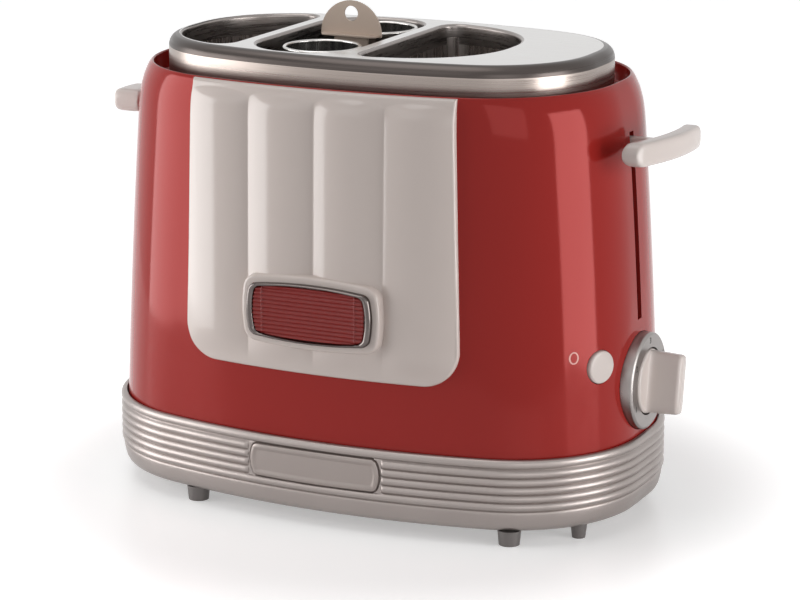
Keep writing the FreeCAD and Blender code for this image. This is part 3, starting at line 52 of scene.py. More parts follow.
class Oval:
    # Two end arcs, two side arcs and four corner arcs. The corner's centre lies on both circles
    # whose radii are the end or side radius less the corner radius.
    def __init__(self, reach, depth, side, end, corner):
        self.endX, self.sideY = reach - end, depth - side
        self.side, self.end, self.corner = side, end, corner
        span = np.array([self.endX, -self.sideY])
        gap = np.linalg.norm(span)
        ux, uy = span / gap
        toSide, toEnd = side - corner, end - corner
        along = (toSide**2 - toEnd**2 + gap**2) / (2 * gap)
        rise = math.sqrt(toSide**2 - along**2)
        self.cornerX = ux * along + uy * rise
        self.cornerY = self.sideY + uy * along - ux * rise
        self.sideTurn = math.atan2(self.cornerY - self.sideY, self.cornerX)
        self.endTurn = math.atan2(self.cornerY, self.cornerX - self.endX)

    # A point is its arc's centre plus the unit normal times the arc's radius and the growth.
    def points(self, turns, grow=0.0):
        c, s = np.cos(turns), np.sin(turns)
        folded = np.arctan2(np.abs(s), np.abs(c))
        onEnd, onCorner = folded < self.endTurn, folded < self.sideTurn
        cx = np.where(onEnd, self.endX, np.where(onCorner, self.cornerX, 0.0))
        cy = np.where(onEnd, 0.0, np.where(onCorner, self.cornerY, self.sideY))
        radius = np.where(onEnd, self.end, np.where(onCorner, self.corner, self.side)) + grow
        return np.sign(c) * (cx + radius * np.cos(folded)), np.sign(s) * (cy + radius * np.sin(folded))

    # Distance outside the outline: distance to the centre of the arc that faces the point, less its radius.
    def distance(self, x, y):
        x, y = np.abs(x), np.abs(y)
        turn = np.arctan2(y - self.cornerY, x - self.cornerX)
        onCorner = (turn >= self.endTurn) & (turn <= self.sideTurn) & (x > self.cornerX) & (y > self.cornerY)
        nearEnd = (turn < self.endTurn) & (x > self.cornerX) | (y <= self.cornerY) & (x > self.cornerX)
        toEnd = np.hypot(x - self.endX, y) - self.end
        toSide = np.hypot(x, y - self.sideY) - self.side
        toCorner = np.hypot(x - self.cornerX, y - self.cornerY) - self.corner
        return np.where(onCorner, toCorner, np.where(nearEnd, toEnd, toSide))

    # Turns spaced so that equal steps cover equal lengths, times a density given by the place.
    def evenTurns(self, count, density=None):
        turns = np.linspace(0, 2 * math.pi, 14401)
        x, y = self.points(turns)
        steps = np.hypot(np.diff(x), np.diff(y))
        if density is not None:
            steps = steps * density((x[1:] + x[:-1]) / 2, (y[1:] + y[:-1]) / 2)
        total = np.concatenate([[0], np.cumsum(steps)])
        return np.interp(np.arange(count) * total[-1] / count, total, turns)


# Two distances joined as an intersection whose meeting edge is rounded by a radius.
def roundedMeet(a, b, radius):
    inner = np.minimum(np.maximum(a + radius, b + radius), 0)
    return inner + np.hypot(np.maximum(a + radius, 0), np.maximum(b + radius, 0)) - radius


# Signed distance to a plaque with bowed ends and edges: two crossing pairs of arcs, met with a round.
def plaque(x, z, length, height, endBow, edgeBow, corner):
    tall, wide = height / 2, length / 2
    endRadius = (tall**2 + endBow**2) / (2 * endBow)
    edgeRadius = (wide**2 + edgeBow**2) / (2 * edgeBow)
    ends = np.hypot(np.maximum(np.abs(x) + endRadius - wide, 0), z) - endRadius
    edges = np.hypot(x, np.abs(z) + edgeRadius - tall) - edgeRadius
    return roundedMeet(ends, edges, corner)


# The closed curve where a distance field has the asked level: bisection along rays from a centre,
# on whole arrays, with the rays stretched to the shape's own proportions.
def levelRing(field, level, count, stretch, centre, far=3.0):
    level = np.atleast_1d(np.asarray(level, float))[:, None]
    turns = np.arange(count) / count * 2 * math.pi
    dx, dy = np.cos(turns)[None, :] * stretch[0], np.sin(turns)[None, :] * stretch[1]
    low, high = np.zeros((level.shape[0], count)), np.full((level.shape[0], count), far)
    for _ in range(46):
        middle = (low + high) / 2
        inside = field(centre[0] + dx * middle, centre[1] + dy * middle) < level
        low, high = np.where(inside, middle, low), np.where(inside, high, middle)
    return centre[0] + dx * low, centre[1] + dy * low


# Evenly spaced turns round a circle.
def roundTurns(count):
    return np.linspace(0, 2 * math.pi, count + 1)[:-1]


# A cosine or sine raised to a power with its sign kept, which squares a circle up as the power falls.
def squared(wave, power):
    return np.sign(wave) * np.abs(wave) ** power


# Meshes.

# Quads of a grid of rows and columns, numbered row by row; either way may close on itself.
def gridFaces(rows, columns, closeRows=False, closeColumns=True):
    r = np.arange(rows if closeRows else rows - 1)
    c = np.arange(columns if closeColumns else columns - 1)
    r, c = np.meshgrid(r, c, indexing="ij")
    nextR, nextC = (r + 1) % rows, (c + 1) % columns
    quads = np.stack([r * columns + c, r * columns + nextC, nextR * columns + nextC, nextR * columns + c], -1)
    return quads.reshape(-1, 4)


# Triangles from every edge of a closed ring to one point.
def fanFaces(start, count, tip, flip=False):
    c = np.arange(count)
    tris = np.stack([start + c, start + (c + 1) % count, np.full(count, tip)], -1)
    return tris[:, ::-1] if flip else tris


# Several shapes as one: their points stacked, and each one's faces numbered on from the points before it.
def joined(*shapes):
    points, faces, start = [], [], 0
    for more, blocks in shapes:
        points.append(np.asarray(more).reshape(-1, 3))
        faces += [block + start for block in blocks]
        start += len(points[-1])
    return np.vstack(points), faces


# A mesh in metres from points in millimetres and blocks of faces.
def meshFrom(name, points, faces):
    mesh = bpy.data.meshes.new(name)
    rows = [face for block in faces for face in block.tolist()]
    mesh.from_pydata((np.asarray(points).reshape(-1, 3) * unit).tolist(), [], rows)
    return mesh


# Doubles nearer than a distance are merged, faces flatter than an angle joined, and all turned outwards.
def cleanMesh(mesh, merge=0.0, flatter=0.0, outward=True):
    bm = bmesh.new()
    bm.from_mesh(mesh)
    if merge:
        bmesh.ops.remove_doubles(bm, verts=bm.verts, dist=merge)
    if flatter:
        bmesh.ops.dissolve_limit(bm, angle_limit=math.radians(flatter), verts=bm.verts, edges=bm.edges)
    if outward:
        bmesh.ops.recalc_face_normals(bm, faces=bm.faces)
    bm.to_mesh(mesh)
    bm.free()


# Smooth faces, with every edge that bends by more than an angle kept sharp.
def finishMesh(mesh, sharp):
    mesh.polygons.foreach_set("use_smooth", np.ones(len(mesh.polygons), bool))
    mesh.set_sharp_from_angle(angle=math.radians(sharp))
    mesh.update()


# An object of a mesh, a lamp or the like, set in the scene.
def newObject(name, data):
    thing = bpy.data.objects.new(name, data)
    bpy.context.scene.collection.objects.link(thing)
    return thing


# The mesh that an object comes to once its modifiers or its letters are worked out.
def workedOut(thing):
    bpy.context.view_layer.update()
    return bpy.data.meshes.new_from_object(thing.evaluated_get(bpy.context.evaluated_depsgraph_get()))


replaced = set()  # the solids that a drawn piece stands for


# A piece from arrays in millimetres; it rides on a body and may stand for solids.
def addPiece(name, points, faces, finish, body="housing", standsFor=(), sharp=40, outward=True):
    mesh = meshFrom(name, points, faces)
    mesh.validate()
    if outward:
        cleanMesh(mesh)
    piece = newObject(name, mesh)
    mesh.materials.append(made[finish])
    finishMesh(mesh, sharp)
    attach(piece, body)
    if standsFor:
        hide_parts(*standsFor)
        replaced.update(standsFor)
    return piece


# A closed skin of rings: rows by columns, with both ends closed to their own middle point.
def cappedRings(x, y, z):
    rows, columns = x.shape
    z = np.broadcast_to(z, x.shape)
    points = np.stack([x, y, z], -1).reshape(-1, 3)
    tips = np.array([points[:columns].mean(0), points[-columns:].mean(0)])
    faces = [
        gridFaces(rows, columns),
        fanFaces(0, columns, len(points), flip=True),
        fanFaces((rows - 1) * columns, columns, len(points) + 1),
    ]
    return np.vstack([points, tips]), faces


# A box between two corners.
def boxMesh(low, high):
    x, y, z = np.meshgrid(*zip(low, high), indexing="ij")
    points = np.stack([x, y, z], -1).reshape(-1, 3)
    faces = np.array([[0, 1, 3, 2], [4, 6, 7, 5], [0, 4, 5, 1], [2, 3, 7, 6], [0, 2, 6, 4], [1, 5, 7, 3]])
    return points, [faces]


# An axis of length one, its cross product with a helper, and its cross product with that.
def turnAxes(axis):
    axis = np.array(axis, float) / np.linalg.norm(axis)
    helper = np.array([0, 0, 1.0]) if abs(axis[2]) < 0.9 else np.array([1.0, 0, 0])
    across = np.cross(axis, helper)
    across /= np.linalg.norm(across)
    return axis, across, np.cross(axis, across)


# A profile of radius and distance along an axis, carried round it. A radius of nought closes an end.
def turnedMesh(profile, start, axis, count):
    profile = np.array(profile, float)
    axis, across, third = turnAxes(axis)
    turns = np.arange(count) / count * 2 * math.pi
    radius, along = profile[:, 0][:, None, None], profile[:, 1][:, None, None]
    spokes = np.cos(turns)[:, None] * across + np.sin(turns)[:, None] * third
    points = np.array(start, float) + along * axis + radius * spokes[None]
    return points.reshape(-1, 3), [gridFaces(len(profile), count)]


# A plain rod of a radius and a length, the tool for a round opening.
def rodMesh(radius, length, start, axis, count):
    return turnedMesh([(0, 0), (radius, 0), (radius, length), (0, length)], start, axis, count)


# Rounds the corners of a profile: each corner becomes a short quadratic curve of its two neighbours.
def softened(profile, radius, steps=4):
    profile = np.array(profile, float)
    out = [profile[0]]
    for before, here, after in zip(profile, profile[1:], profile[2:]):
        toA, toB = before - here, after - here
        reachA = min(radius, np.linalg.norm(toA) / 2.2)
        reachB = min(radius, np.linalg.norm(toB) / 2.2)
        a = here + toA / np.linalg.norm(toA) * reachA
        b = here + toB / np.linalg.norm(toB) * reachB
        t = np.linspace(0, 1, steps + 1)[:, None]
        out.extend((1 - t) ** 2 * a + 2 * t * (1 - t) * here + t**2 * b)
    out.append(profile[-1])
    return np.array(out)


# A shape cut out of a piece with Blender's exact boolean; the tool is thrown away.
def carve(piece, points, faces, sharp=40):
    mesh = meshFrom("tool", points, faces)
    cleanMesh(mesh, merge=1e-7)
    tool = newObject("tool", mesh)
    modifier = piece.modifiers.new("carve", "BOOLEAN")
    modifier.object, modifier.operation, modifier.solver = tool, "DIFFERENCE", "EXACT"
    carved = workedOut(piece)
    piece.modifiers.clear()
    carved.name = piece.data.name
    piece.data = carved
    bpy.data.objects.remove(tool)
    finishMesh(carved, sharp)


# Materials.

# Sets a node's inputs by name or number: a socket is linked to it, anything else is typed in.
def fill(tree, node, inputs):
    for name, value in inputs.items():
        if isinstance(value, bpy.types.NodeSocket):
            tree.links.new(value, node.inputs[name])
        else:
            node.inputs[name].default_value = value


# A new node of a kind, with its settings and its inputs.
def addNode(tree, kind, inputs, **settings):
    node = tree.nodes.new("ShaderNode" + kind)
    for name, value in settings.items():
        setattr(node, name, value)
    fill(tree, node, inputs)
    return node


# A material with its nodes, its shader, and the object's own coordinates to lay patterns on.
def newMaterial(name):
    material = bpy.data.materials.new(name)
    material.use_nodes = True
    tree = material.node_tree
    return material, tree, tree.nodes["Principled BSDF"], addNode(tree, "TexCoord", {}).outputs["Object"]


# Coordinates times a scale for each axis.
def stretched(tree, place, scale):
    return addNode(tree, "Mapping", {"Vector": place, "Scale": scale}).outputs["Vector"]


# Noise of a scale, a number of finer layers, and the share that each finer layer keeps.
def noise(tree, vector, scale, detail, roughness=0.5):
    inputs = {"Vector": vector, "Scale": scale, "Detail": detail, "Roughness": roughness}
    return addNode(tree, "TexNoise", inputs).outputs["Fac"]


# The middle of a noise, from 0.3 to 0.7, spread evenly between two numbers.
def spread(tree, value, low, high):
    inputs = {"Value": value, "From Min": 0.3, "From Max": 0.7, "To Min": low, "To Max": high}
    return addNode(tree, "MapRange", inputs).outputs["Result"]


# A straight mix of two colours by a value.
def blendColours(tree, value, first, second):
    inputs = {"Factor": value, "A": (*first, 1), "B": (*second, 1)}
    return addNode(tree, "Mix", inputs, data_type="RGBA").outputs["Result"]


# The shader's normal tilted by the slope of a height.
def bumpFrom(tree, shader, height, strength, distance):
    bump = addNode(tree, "Bump", {"Height": height, "Strength": strength, "Distance": distance})
    fill(tree, shader, {"Normal": bump.outputs["Normal"]})


# Moulded plastic or lacquer: a colour that drifts a little, fine flow marks and a faint orange peel.
def mouldedPlastic(
    name, colour, roughness, drift, peel, peelScale=900, specular=0.5, metallic=0.0, wear=0.15, ior=1.5,
):
    material, tree, shader, place = newMaterial(name)
    wide = noise(tree, stretched(tree, place, (1, 1, 0.4)), 22, 4)
    rough = noise(tree, place, 60, 5)
    darker = [c * (1 - drift) for c in colour]
    lighter = [min(1, c * (1 + drift)) for c in colour]
    fill(tree, shader, {
        "Base Color": blendColours(tree, spread(tree, wide, 0, 1), darker, lighter),
        "Roughness": spread(tree, rough, roughness * (1 - wear), roughness * (1 + wear)),
        "Specular IOR Level": specular, "Metallic": metallic, "IOR": ior,
    })
    bumpFrom(tree, shader, noise(tree, place, peelScale, 2), peel, 0.0004)
    return material


# Metal brushed along one direction: long noise streaks drive colour, roughness and a shallow bump.
def brushedMetal(name, colour, roughness, grain, contrast, relief, stain=0.05):
    material, tree, shader, place = newMaterial(name)
    streaks = noise(tree, stretched(tree, place, grain), 1, 3, 0.65)
    cloud = noise(tree, place, 14, 4)
    darker = [c * (1 - contrast) for c in colour]
    tint = addNode(tree, "Mix", {
        "Factor": spread(tree, cloud, 0, 1),
        "A": blendColours(tree, spread(tree, streaks, 0, 1), darker, colour),
        "B": (1 - stain, 1 - stain, 1 - stain, 1),
    }, data_type="RGBA", blend_type="MULTIPLY")
    fill(tree, shader, {
        "Base Color": tint.outputs["Result"], "Metallic": 1.0,
        "Roughness": spread(tree, streaks, roughness * 0.75, roughness * 1.3),
    })
    bumpFrom(tree, shader, streaks, relief, 0.0003)
    return material


silverPaint = {"peelScale": 2600, "metallic": 0.75}
plastics = {
    # colour, roughness, drift of the colour, depth of the peel, and what else isn't as usual
    "plateSilver": ((0.3, 0.26, 0.243), 0.3, 0.02, 0.03, {"wear": 0.03, **silverPaint}),
    # the feet: the base's silver made darker, as painted shade under the body
    "footSilverShaded": ((0.16, 0.145, 0.14), 0.4, 0.05, 0.1, {"peelScale": 2600, "metallic": 0.6, "wear": 0.05}),
    "shellRed": (
        (0.315, 0.02, 0.016), 0.09, 0.015, 0.012,
        {"specular": 0.33, "metallic": 0.1, "wear": 0.05, "ior": 1.3},
    ),
    "badgeRed": ((0.25, 0.021, 0.018), 0.2, 0.03, 0.02, {"specular": 0.3, "wear": 0.05}),
    "warmWhite": ((0.64, 0.555, 0.515), 0.15, 0.008, 0.01, {"wear": 0.03}),
    "handleWhite": ((0.64, 0.565, 0.53), 0.2, 0.008, 0.012, {"specular": 0.45, "wear": 0.03}),
    "satinSilver": ((0.335, 0.294, 0.278), 0.34, 0.03, 0.16, silverPaint),
    "tabGrey": ((0.5, 0.4, 0.33), 0.5, 0.04, 0.15, {"peelScale": 1800, "metallic": 0.2}),
    "blackPlastic": ((0.025, 0.025, 0.026), 0.45, 0.2, 0.2, {}),
    "blackRubber": ((0.02, 0.02, 0.02), 0.6, 0.2, 0.3, {}),
    "circuitGreen": ((0.02, 0.12, 0.05), 0.35, 0.2, 0.2, {}),
    "blockWhite": ((0.6, 0.6, 0.56), 0.45, 0.05, 0.1, {}),
    "mica": ((0.42, 0.36, 0.26), 0.4, 0.25, 0.3, {"peelScale": 300}),
    "numberBlack": ((0.012, 0.011, 0.011), 0.5, 0.1, 0.02, {}),
    "markPink": ((0.7, 0.42, 0.38), 0.4, 0.03, 0.02, {}),
}
metals = {
    # colour, roughness, grain along each axis, contrast, relief, and stain where it isn't 0.05
    "coverFlat": ((0.66, 0.65, 0.64), 0.34, (9, 900, 900), 0.05, 0.03, 0.02),
    # the cover's skirt, roll and wells are the same steel as its flat, made darker here as painted shade
    "coverSkirtShaded": ((0.39, 0.335, 0.305), 0.3, (4, 4, 900), 0.18, 0.05, 0.03),
    "coverRollShaded": ((0.085, 0.072, 0.067), 0.3, (4, 4, 900), 0.15, 0.03),
    "coverWellShaded": ((0.3, 0.27, 0.255), 0.28, (30, 30, 500), 0.2, 0.05),
    "wellSteel": ((0.66, 0.6, 0.57), 0.26, (500, 500, 8), 0.25, 0.08, 0.1),
    "dialSilver": ((0.31, 0.285, 0.275), 0.32, (400, 30, 30), 0.1, 0.06),
    "darkChrome": ((0.14, 0.121, 0.115), 0.16, (60, 60, 60), 0.15, 0.02),
    "basketSteel": ((0.62, 0.6, 0.58), 0.22, (300, 300, 4), 0.15, 0.08),
    "rolledSteel": ((0.4, 0.39, 0.38), 0.4, (500, 500, 6), 0.2, 0.1, 0.15),
    "groundRod": ((0.6, 0.6, 0.6), 0.18, (900, 900, 20), 0.1, 0.05),
    "heaterMetal": ((0.2, 0.17, 0.15), 0.5, (90, 30, 300), 0.4, 0.15),
    "magnetIron": ((0.14, 0.14, 0.145), 0.5, (40, 40, 40), 0.3, 0.2),
}
made = {name: mouldedPlastic(name, *values, **more) for name, (*values, more) in plastics.items()}
made.update({name: brushedMetal(name, *values) for name, values in metals.items()})

# the finish of every solid, by the slot that its record names
slotFinish = {
    "silver_base": "satinSilver", "red_shell": "shellRed", "brushed_cover": "coverFlat",
    "white_panel": "warmWhite", "white_plastic": "handleWhite", "badge_chrome": "darkChrome",
    "badge_red": "badgeRed", "satin_silver": "dialSilver", "sheet_steel": "rolledSteel",
    "basket_steel": "basketSteel", "tab_grey": "tabGrey", "mica": "mica", "heater_metal": "heaterMetal",
    "rod_chrome": "groundRod", "spring_steel": "groundRod", "magnet_iron": "magnetIron",
    "black_plastic": "blackPlastic", "circuit_green": "circuitGreen", "block_white": "blockWhite",
    "black_rubber": "blackRubber",
}
for part in frame["record"]["subparts"]:
    solid = frame["nodes"][part["node"]]
    solid.data.materials.clear()
    solid.data.materials.append(made[slotFinish[part["material_slot"]]])
print("materials ready")


# Camera, floor and light.

view = {
    "azimuth": 25.74, "elevation": 13.61, "target": (0, 0, 0.123), "distance": 1.5604,
    "lens": 129.5, "sensor": 36, "shift": (0.0137, -0.0471),
}
viewTurn, viewTilt = math.radians(view["azimuth"]), math.radians(view["elevation"])
flatLook = math.cos(viewTilt)
toCamera = Vector((math.sin(viewTurn) * flatLook, -math.cos(viewTurn) * flatLook, math.sin(viewTilt)))
lensData = bpy.data.cameras.new("camera")
lensData.lens, lensData.sensor_width = view["lens"], view["sensor"]
lensData.shift_x, lensData.shift_y = view["shift"]
camera = newObject("camera", lensData)
camera.location = Vector(view["target"]) + toCamera * view["distance"]
camera.rotation_euler = (-toCamera).to_track_quat("-Z", "Y").to_euler()
bpy.context.scene.camera = camera
bpy.context.scene.view_settings.view_transform = "Standard"

studio = {
    "ambient": 0.1, "white": 1.0,
    # the glow near the object is lower than far off, a painted soft shadow
    "glowNearPaintedShadow": 0.33, "glowFar": 0.64, "glowStart": 0.16, "glowEnd": 0.25,  # strengths, and metres out
    "floor": ((-0.5, -0.42), (0.5, -0.42), (0.75, 2.6), (-0.75, 2.6)),  # across and away from the camera
}


# One for rays that come straight from the camera, from a mirror or through glass, nought for the rest:
# the greatest of the three flags.
def seenRays(tree):
    path = addNode(tree, "LightPath", {}).outputs
    first = addNode(tree, "Math", {0: path["Is Camera Ray"], 1: path["Is Glossy Ray"]}, operation="MAXIMUM")
    rest = {0: first.outputs[0], 1: path["Is Transmission Ray"]}
    return addNode(tree, "Math", rest, operation="MAXIMUM").outputs[0]


# the world is white where it is seen, and a plain soft grey as a light
world = bpy.data.worlds.new("studio")
bpy.context.scene.world = world
world.use_nodes = True
sky = world.node_tree
shades = {"Value": seenRays(sky), "To Min": studio["ambient"], "To Max": studio["white"]}
strength = addNode(sky, "MapRange", shades).outputs["Result"]
fill(sky, sky.nodes["Background"], {"Color": (1, 1, 1, 1), "Strength": strength})


# The floor takes the shadow, and glows just enough for the eye to be white where it is lit. The glow is an
# ease curve of the distance from the middle, lower near it, which paints a soft shadow under and around the
# object.
def floorFinish():
    material, tree, shader, place = newMaterial("floor")
    cloud = noise(tree, place, 6, 3)
    distance = addNode(tree, "VectorMath", {0: place}, operation="LENGTH").outputs["Value"]
    ease = addNode(tree, "MapRange", {
        "Value": distance, "From Min": studio["glowStart"], "From Max": studio["glowEnd"],
        "To Min": studio["glowNearPaintedShadow"], "To Max": studio["glowFar"],
    }, interpolation_type="SMOOTHSTEP")
    glow = addNode(tree, "MapRange", {"Value": seenRays(tree), "To Max": ease.outputs["Result"]})
    fill(tree, shader, {
        "Base Color": blendColours(tree, cloud, (0.8, 0.8, 0.8), (0.83, 0.83, 0.83)),
        "Roughness": spread(tree, cloud, 0.32, 0.38),
        "Emission Color": (1, 1, 1, 1), "Emission Strength": glow.outputs["Result"],
    })
    return material


floorMesh = bpy.data.meshes.new("floor")
side = Vector((math.cos(viewTurn), math.sin(viewTurn), 0))
away = Vector((-math.sin(viewTurn), math.cos(viewTurn), 0))
floorMesh.from_pydata([tuple(side * a + away * b) for a, b in studio["floor"]], [], [(0, 1, 2, 3)])
floorMesh.materials.append(floorFinish())
floor = newObject("floor", floorMesh)


# A softbox is an area lamp that stands at a distance in a direction from its aim, and faces it.
def softbox(name, direction, distance, size, watts, aim=(0, 0, 0.12)):
    lamp = bpy.data.lights.new(name, "AREA")
    lamp.shape, lamp.size, lamp.size_y = "RECTANGLE", *size
    lamp.energy = watts
    stand = newObject(name, lamp)
    direction = Vector(direction).normalized()
    stand.location = Vector(aim) + direction * distance
    stand.rotation_euler = (-direction).to_track_quat("-Z", "Y").to_euler()


lamps = {
    # direction from the aim, distance in metres, width and height, and watts
    "stripLeft": ((-0.88, -0.42, 0.02), 1.0, (0.75, 0.95), 9.3),
    "stripRight": ((0.9966, -0.083, 0.0), 0.98, (0.5, 0.9), 7.5),
    "overhead": ((-0.25, -0.15, 1.0), 1.5, (1.2, 1.0), 7.0),
    "front": ((-0.3, -1.0, 0.6), 1.8, (0.9, 0.9), 1.4),
    "frontRight": ((0.75, -1.0, 0.35), 1.8, (0.9, 0.9), 2.9),
}
for name, values in lamps.items():
    softbox(name, *values)
print("camera, floor and light ready")


# Red shell.

bodyArcs = {"side": 415, "end": 700, "corner": 72}  # radii that the shell's and the base's ovals share
shell = {
    "foot": 43.0, "rim": 232.0, "shelf": 222.0, "reach": 148.4, "depth": 89.7,
    "taper": 0.0382, "belly": 0.000132, "depthTaper": 0.01879,  # slope, bow and slope in depth
    "turnIn": 32.0, "turnPower": 3.6, "turnReach": 5.06, "turnDepth": 2.45,
    "lip": 0.8, "wall": 2.2, "slot": (108.0, 207.0), "slotHalf": 2.8,
}


# The reach shrinks with height as a square law and the depth evenly; both turn in below the rim,
# as a power of the way up to it.
def shellOval(z):
    up = z - shell["foot"]
    turned = max(0.0, (z - shell["rim"] + shell["turnIn"]) / shell["turnIn"]) ** shell["turnPower"]
    reach = shell["reach"] - shell["taper"] * up - shell["belly"] * up**2 - shell["turnReach"] * turned
    depth = shell["depth"] - shell["depthTaper"] * up - shell["turnDepth"] * turned
    return Oval(reach, depth, **bodyArcs)


# Stacks rows of (oval, growth, height) into one grid over the same turns.
def ovalRows(rows, turns):
    grid = [(*oval.points(turns, grow), np.full(len(turns), height)) for oval, grow, height in rows]
    return np.moveaxis(np.array(grid), 1, 2)


# Points on the front side arc of a body oval: x over the radius is the sine of the turn, and the radius
# grows by the rise above the surface.
def onFront(x, z, rise, sideY):
    radius = bodyArcs["side"]
    turn = np.arcsin(np.clip(x / radius, -1, 1))
    return np.stack([(radius + rise) * np.sin(turn), -(sideY + (radius + rise) * np.cos(turn)), z], -1)


coverOval = Oval(122, 72.8, 366, 600, 60)  # the cover's own outline, which the shell's shelf follows
rimOval = shellOval(shell["rim"])
turns = shellOval(100).evenTurns(360)
skinHeights = np.concatenate([np.linspace(shell["foot"], 200, 26), np.linspace(203, 231, 15)])
rows = [(shellOval(z), 0.0, z) for z in skinHeights]
lip, lipMiddle = shell["lip"], shell["rim"] - shell["lip"]
for a in np.linspace(0, math.pi, 9)[1:-1]:
    rows.append((rimOval, lip * (math.cos(a) - 1), lipMiddle + lip * math.sin(a)))
# down inside the lip, in along the shelf, down through the cover's opening and back to the wall
shelf = shell["shelf"]
rows += [(rimOval, -1.6, 231.0), (rimOval, -1.6, 222.8), (rimOval, -1.9, 222.2), (rimOval, -2.5, shelf)]
rows += [(coverOval, 1.0, shelf), (coverOval, -2.6, shelf), (coverOval, -2.6, 220.0)]
rows.append((shellOval(219), -3.4, 220.0))
rows += [(shellOval(z), -shell["wall"], z) for z in np.linspace(218.5, shell["foot"], 12)]
grid = ovalRows(rows, turns)
redShell = addPiece(
    "red_shell", grid, [gridFaces(len(grid), len(turns), closeRows=True)], "shellRed",
    standsFor=["shell_front", "shell_back", "shell_end_strips"],
)

slotLow, slotHigh = shell["slot"]
carve(redShell, *boxMesh((-200, -shell["slotHalf"], slotLow), (200, shell["slotHalf"], slotHigh)))
dialPlace = np.array([142.5, 0, 75.0])
buttonPlace = np.array([138.4, -39.0, 91.0])
buttonTurn = math.radians(24.7)
buttonAxis = np.array([math.cos(buttonTurn), -math.sin(buttonTurn), 0])
carve(redShell, *rodMesh(26.0, 40, dialPlace - [12, 0, 0], (1, 0, 0), 128))
carve(redShell, *rodMesh(9.0, 36, buttonPlace - 16 * buttonAxis, buttonAxis, 96))
print("shell ready")


# Silver base.

base = {
    "rib": 4.4, "ribs": 5, "valley": 0.6, "crest": 2.0, "low": 19.5,
    "plateHalf": 37.5, "plateLow": 23.9, "plateHigh": 41.5, "plateRise": 1.15,
    "doorLow": (-100.3, 40, 12.8), "doorHigh": (60.3, 120, 24.3),  # the crumb tray's doorway
    "inlet": (76, 60, 30), "inletRadius": 7.3,
}
baseOval = Oval(150, 91.3, **bodyArcs)
nameMiddle = (base["plateLow"] + base["plateHigh"]) / 2


# Signed distance to the nameplate's outline.
def namePlaque(x, z):
    height = base["plateHigh"] - base["plateLow"]
    return plaque(x, z - nameMiddle, 2 * base["plateHalf"], height, 2.5, 0.3, 1.5)


# Ribs are round swellings of a wave; beside the plate each one ends in a quarter round of its own height.
ribHeights = base["low"] + np.arange(base["ribs"] * 10 + 1) * base["rib"] / 10
swell = np.abs(np.sin((ribHeights - base["low"]) / base["rib"] * math.pi)) ** 0.75
ribs = [(base["valley"] + (base["crest"] - base["valley"]) * s, z) for s, z in zip(swell, ribHeights)]
bowl = [(-22, 8.0), (-4.5, 8.0), (-3.2, 8.25), (-2.0, 8.9), (-1.0, 9.9), (-0.3, 11.2), (0.1, 12.6)]
bowl += [(0.7, 15.5), (1.0, 17.6), (1.0, 18.5), (0.85, 18.9), (0.5, 19.15)]
beadTurn = np.linspace(-0.42 * math.pi, 0.5 * math.pi, 12)
bead = [(-0.3 + 2.3 * math.cos(a), 44.5 + 2.5 * math.sin(a)) for a in beadTurn]
top = [(-1.1, 46.9), (-1.3, 46.5), (-1.3, 43), (-7, 43), (-7, 41), (-2.4, 41), (-2.4, 11), (-22, 11)]
profile = bowl + ribs + bead + top
radii, heights = np.array(profile).T
row = np.arange(len(profile))[:, None]
isRib = (row >= len(bowl)) & (row < len(bowl) + len(ribs))


# Ten times as many columns on the front where the nameplate ends, falling off as a bell curve.
def nearPlate(x, y):
    return 1 + 9 * np.exp(-(((np.abs(x) - 38.5) / 3.5) ** 2)) * (y < 0)


turns = baseOval.evenTurns(560, nearPlate)
flatX, flatY = baseOval.points(turns)
atX, atZ = np.meshgrid(flatX, heights)
grow = np.broadcast_to(radii[:, None], atX.shape).copy()
front = (flatY < 0)[None, :] & (row < len(profile) - len(top))
sideGap = np.clip((np.abs(atX) - base["plateHalf"] - 1.2) / 2.0, 0, 1)
roundEnd = np.sqrt(1 - (1 - sideGap) ** 2)
inBand = front & isRib & (atZ > base["plateLow"] - 0.6)
grow = np.where(inBand, base["valley"] + (grow - base["valley"]) * roundEnd, grow)
recess = np.clip(0.9 - namePlaque(atX, atZ), 0, 0.6) / 0.6
grow = np.where(front, grow * (1 - recess) + np.minimum(grow, -0.3) * recess, grow)
grid = np.stack([flatX + np.cos(turns) * grow, flatY + np.sin(turns) * grow, atZ], -1)
skirt = addPiece(
    "ribbed_base", grid, [gridFaces(len(grid), len(turns), closeRows=True)], "satinSilver",
    standsFor=["base_skirt"], sharp=50,
)
carve(skirt, *boxMesh(base["doorLow"], base["doorHigh"]), sharp=50)
carve(skirt, *rodMesh(base["inletRadius"], 60, base["inlet"], (0, 1, 0), 64), sharp=50)

# The bare nameplate lies on the base's oval: rings of its outline, each a distance from it and a height,
# with a raised border, then the dished field as the last ring drawn in towards the middle by shares.
levels = [(-3.4, 0), (-2.9, 0.1), (-2.3, 0.45), (-1.7, 0.5), (-0.8, 0.5), (-0.3, 0.3), (0, 0), (0, -1.6)]
ringX, ringZ = levelRing(namePlaque, [d for d, _ in levels], 320, (36, 8.4), (0, nameMiddle))
shares = np.concatenate([[0.02, 0.2], np.linspace(0.4, 0.95, 8)])[:, None]
ringX = np.vstack([ringX[0] * shares, ringX])
ringZ = np.vstack([nameMiddle + (ringZ[0] - nameMiddle) * shares, ringZ])
rise = base["plateRise"] + np.array([0] * len(shares) + [h for _, h in levels])[:, None]
flat = onFront(ringX, ringZ, rise, baseOval.sideY).reshape(-1, 3)
middle = onFront(np.zeros(1), np.full(1, nameMiddle), base["plateRise"], baseOval.sideY)
faces = [gridFaces(*ringX.shape), fanFaces(0, ringX.shape[1], len(flat), flip=True)]
addPiece(
    "nameplate_bare", np.vstack([flat, middle]), faces, "plateSilver",
    standsFor=["nameplate"],
)
print("base ready")


# Steel top cover.

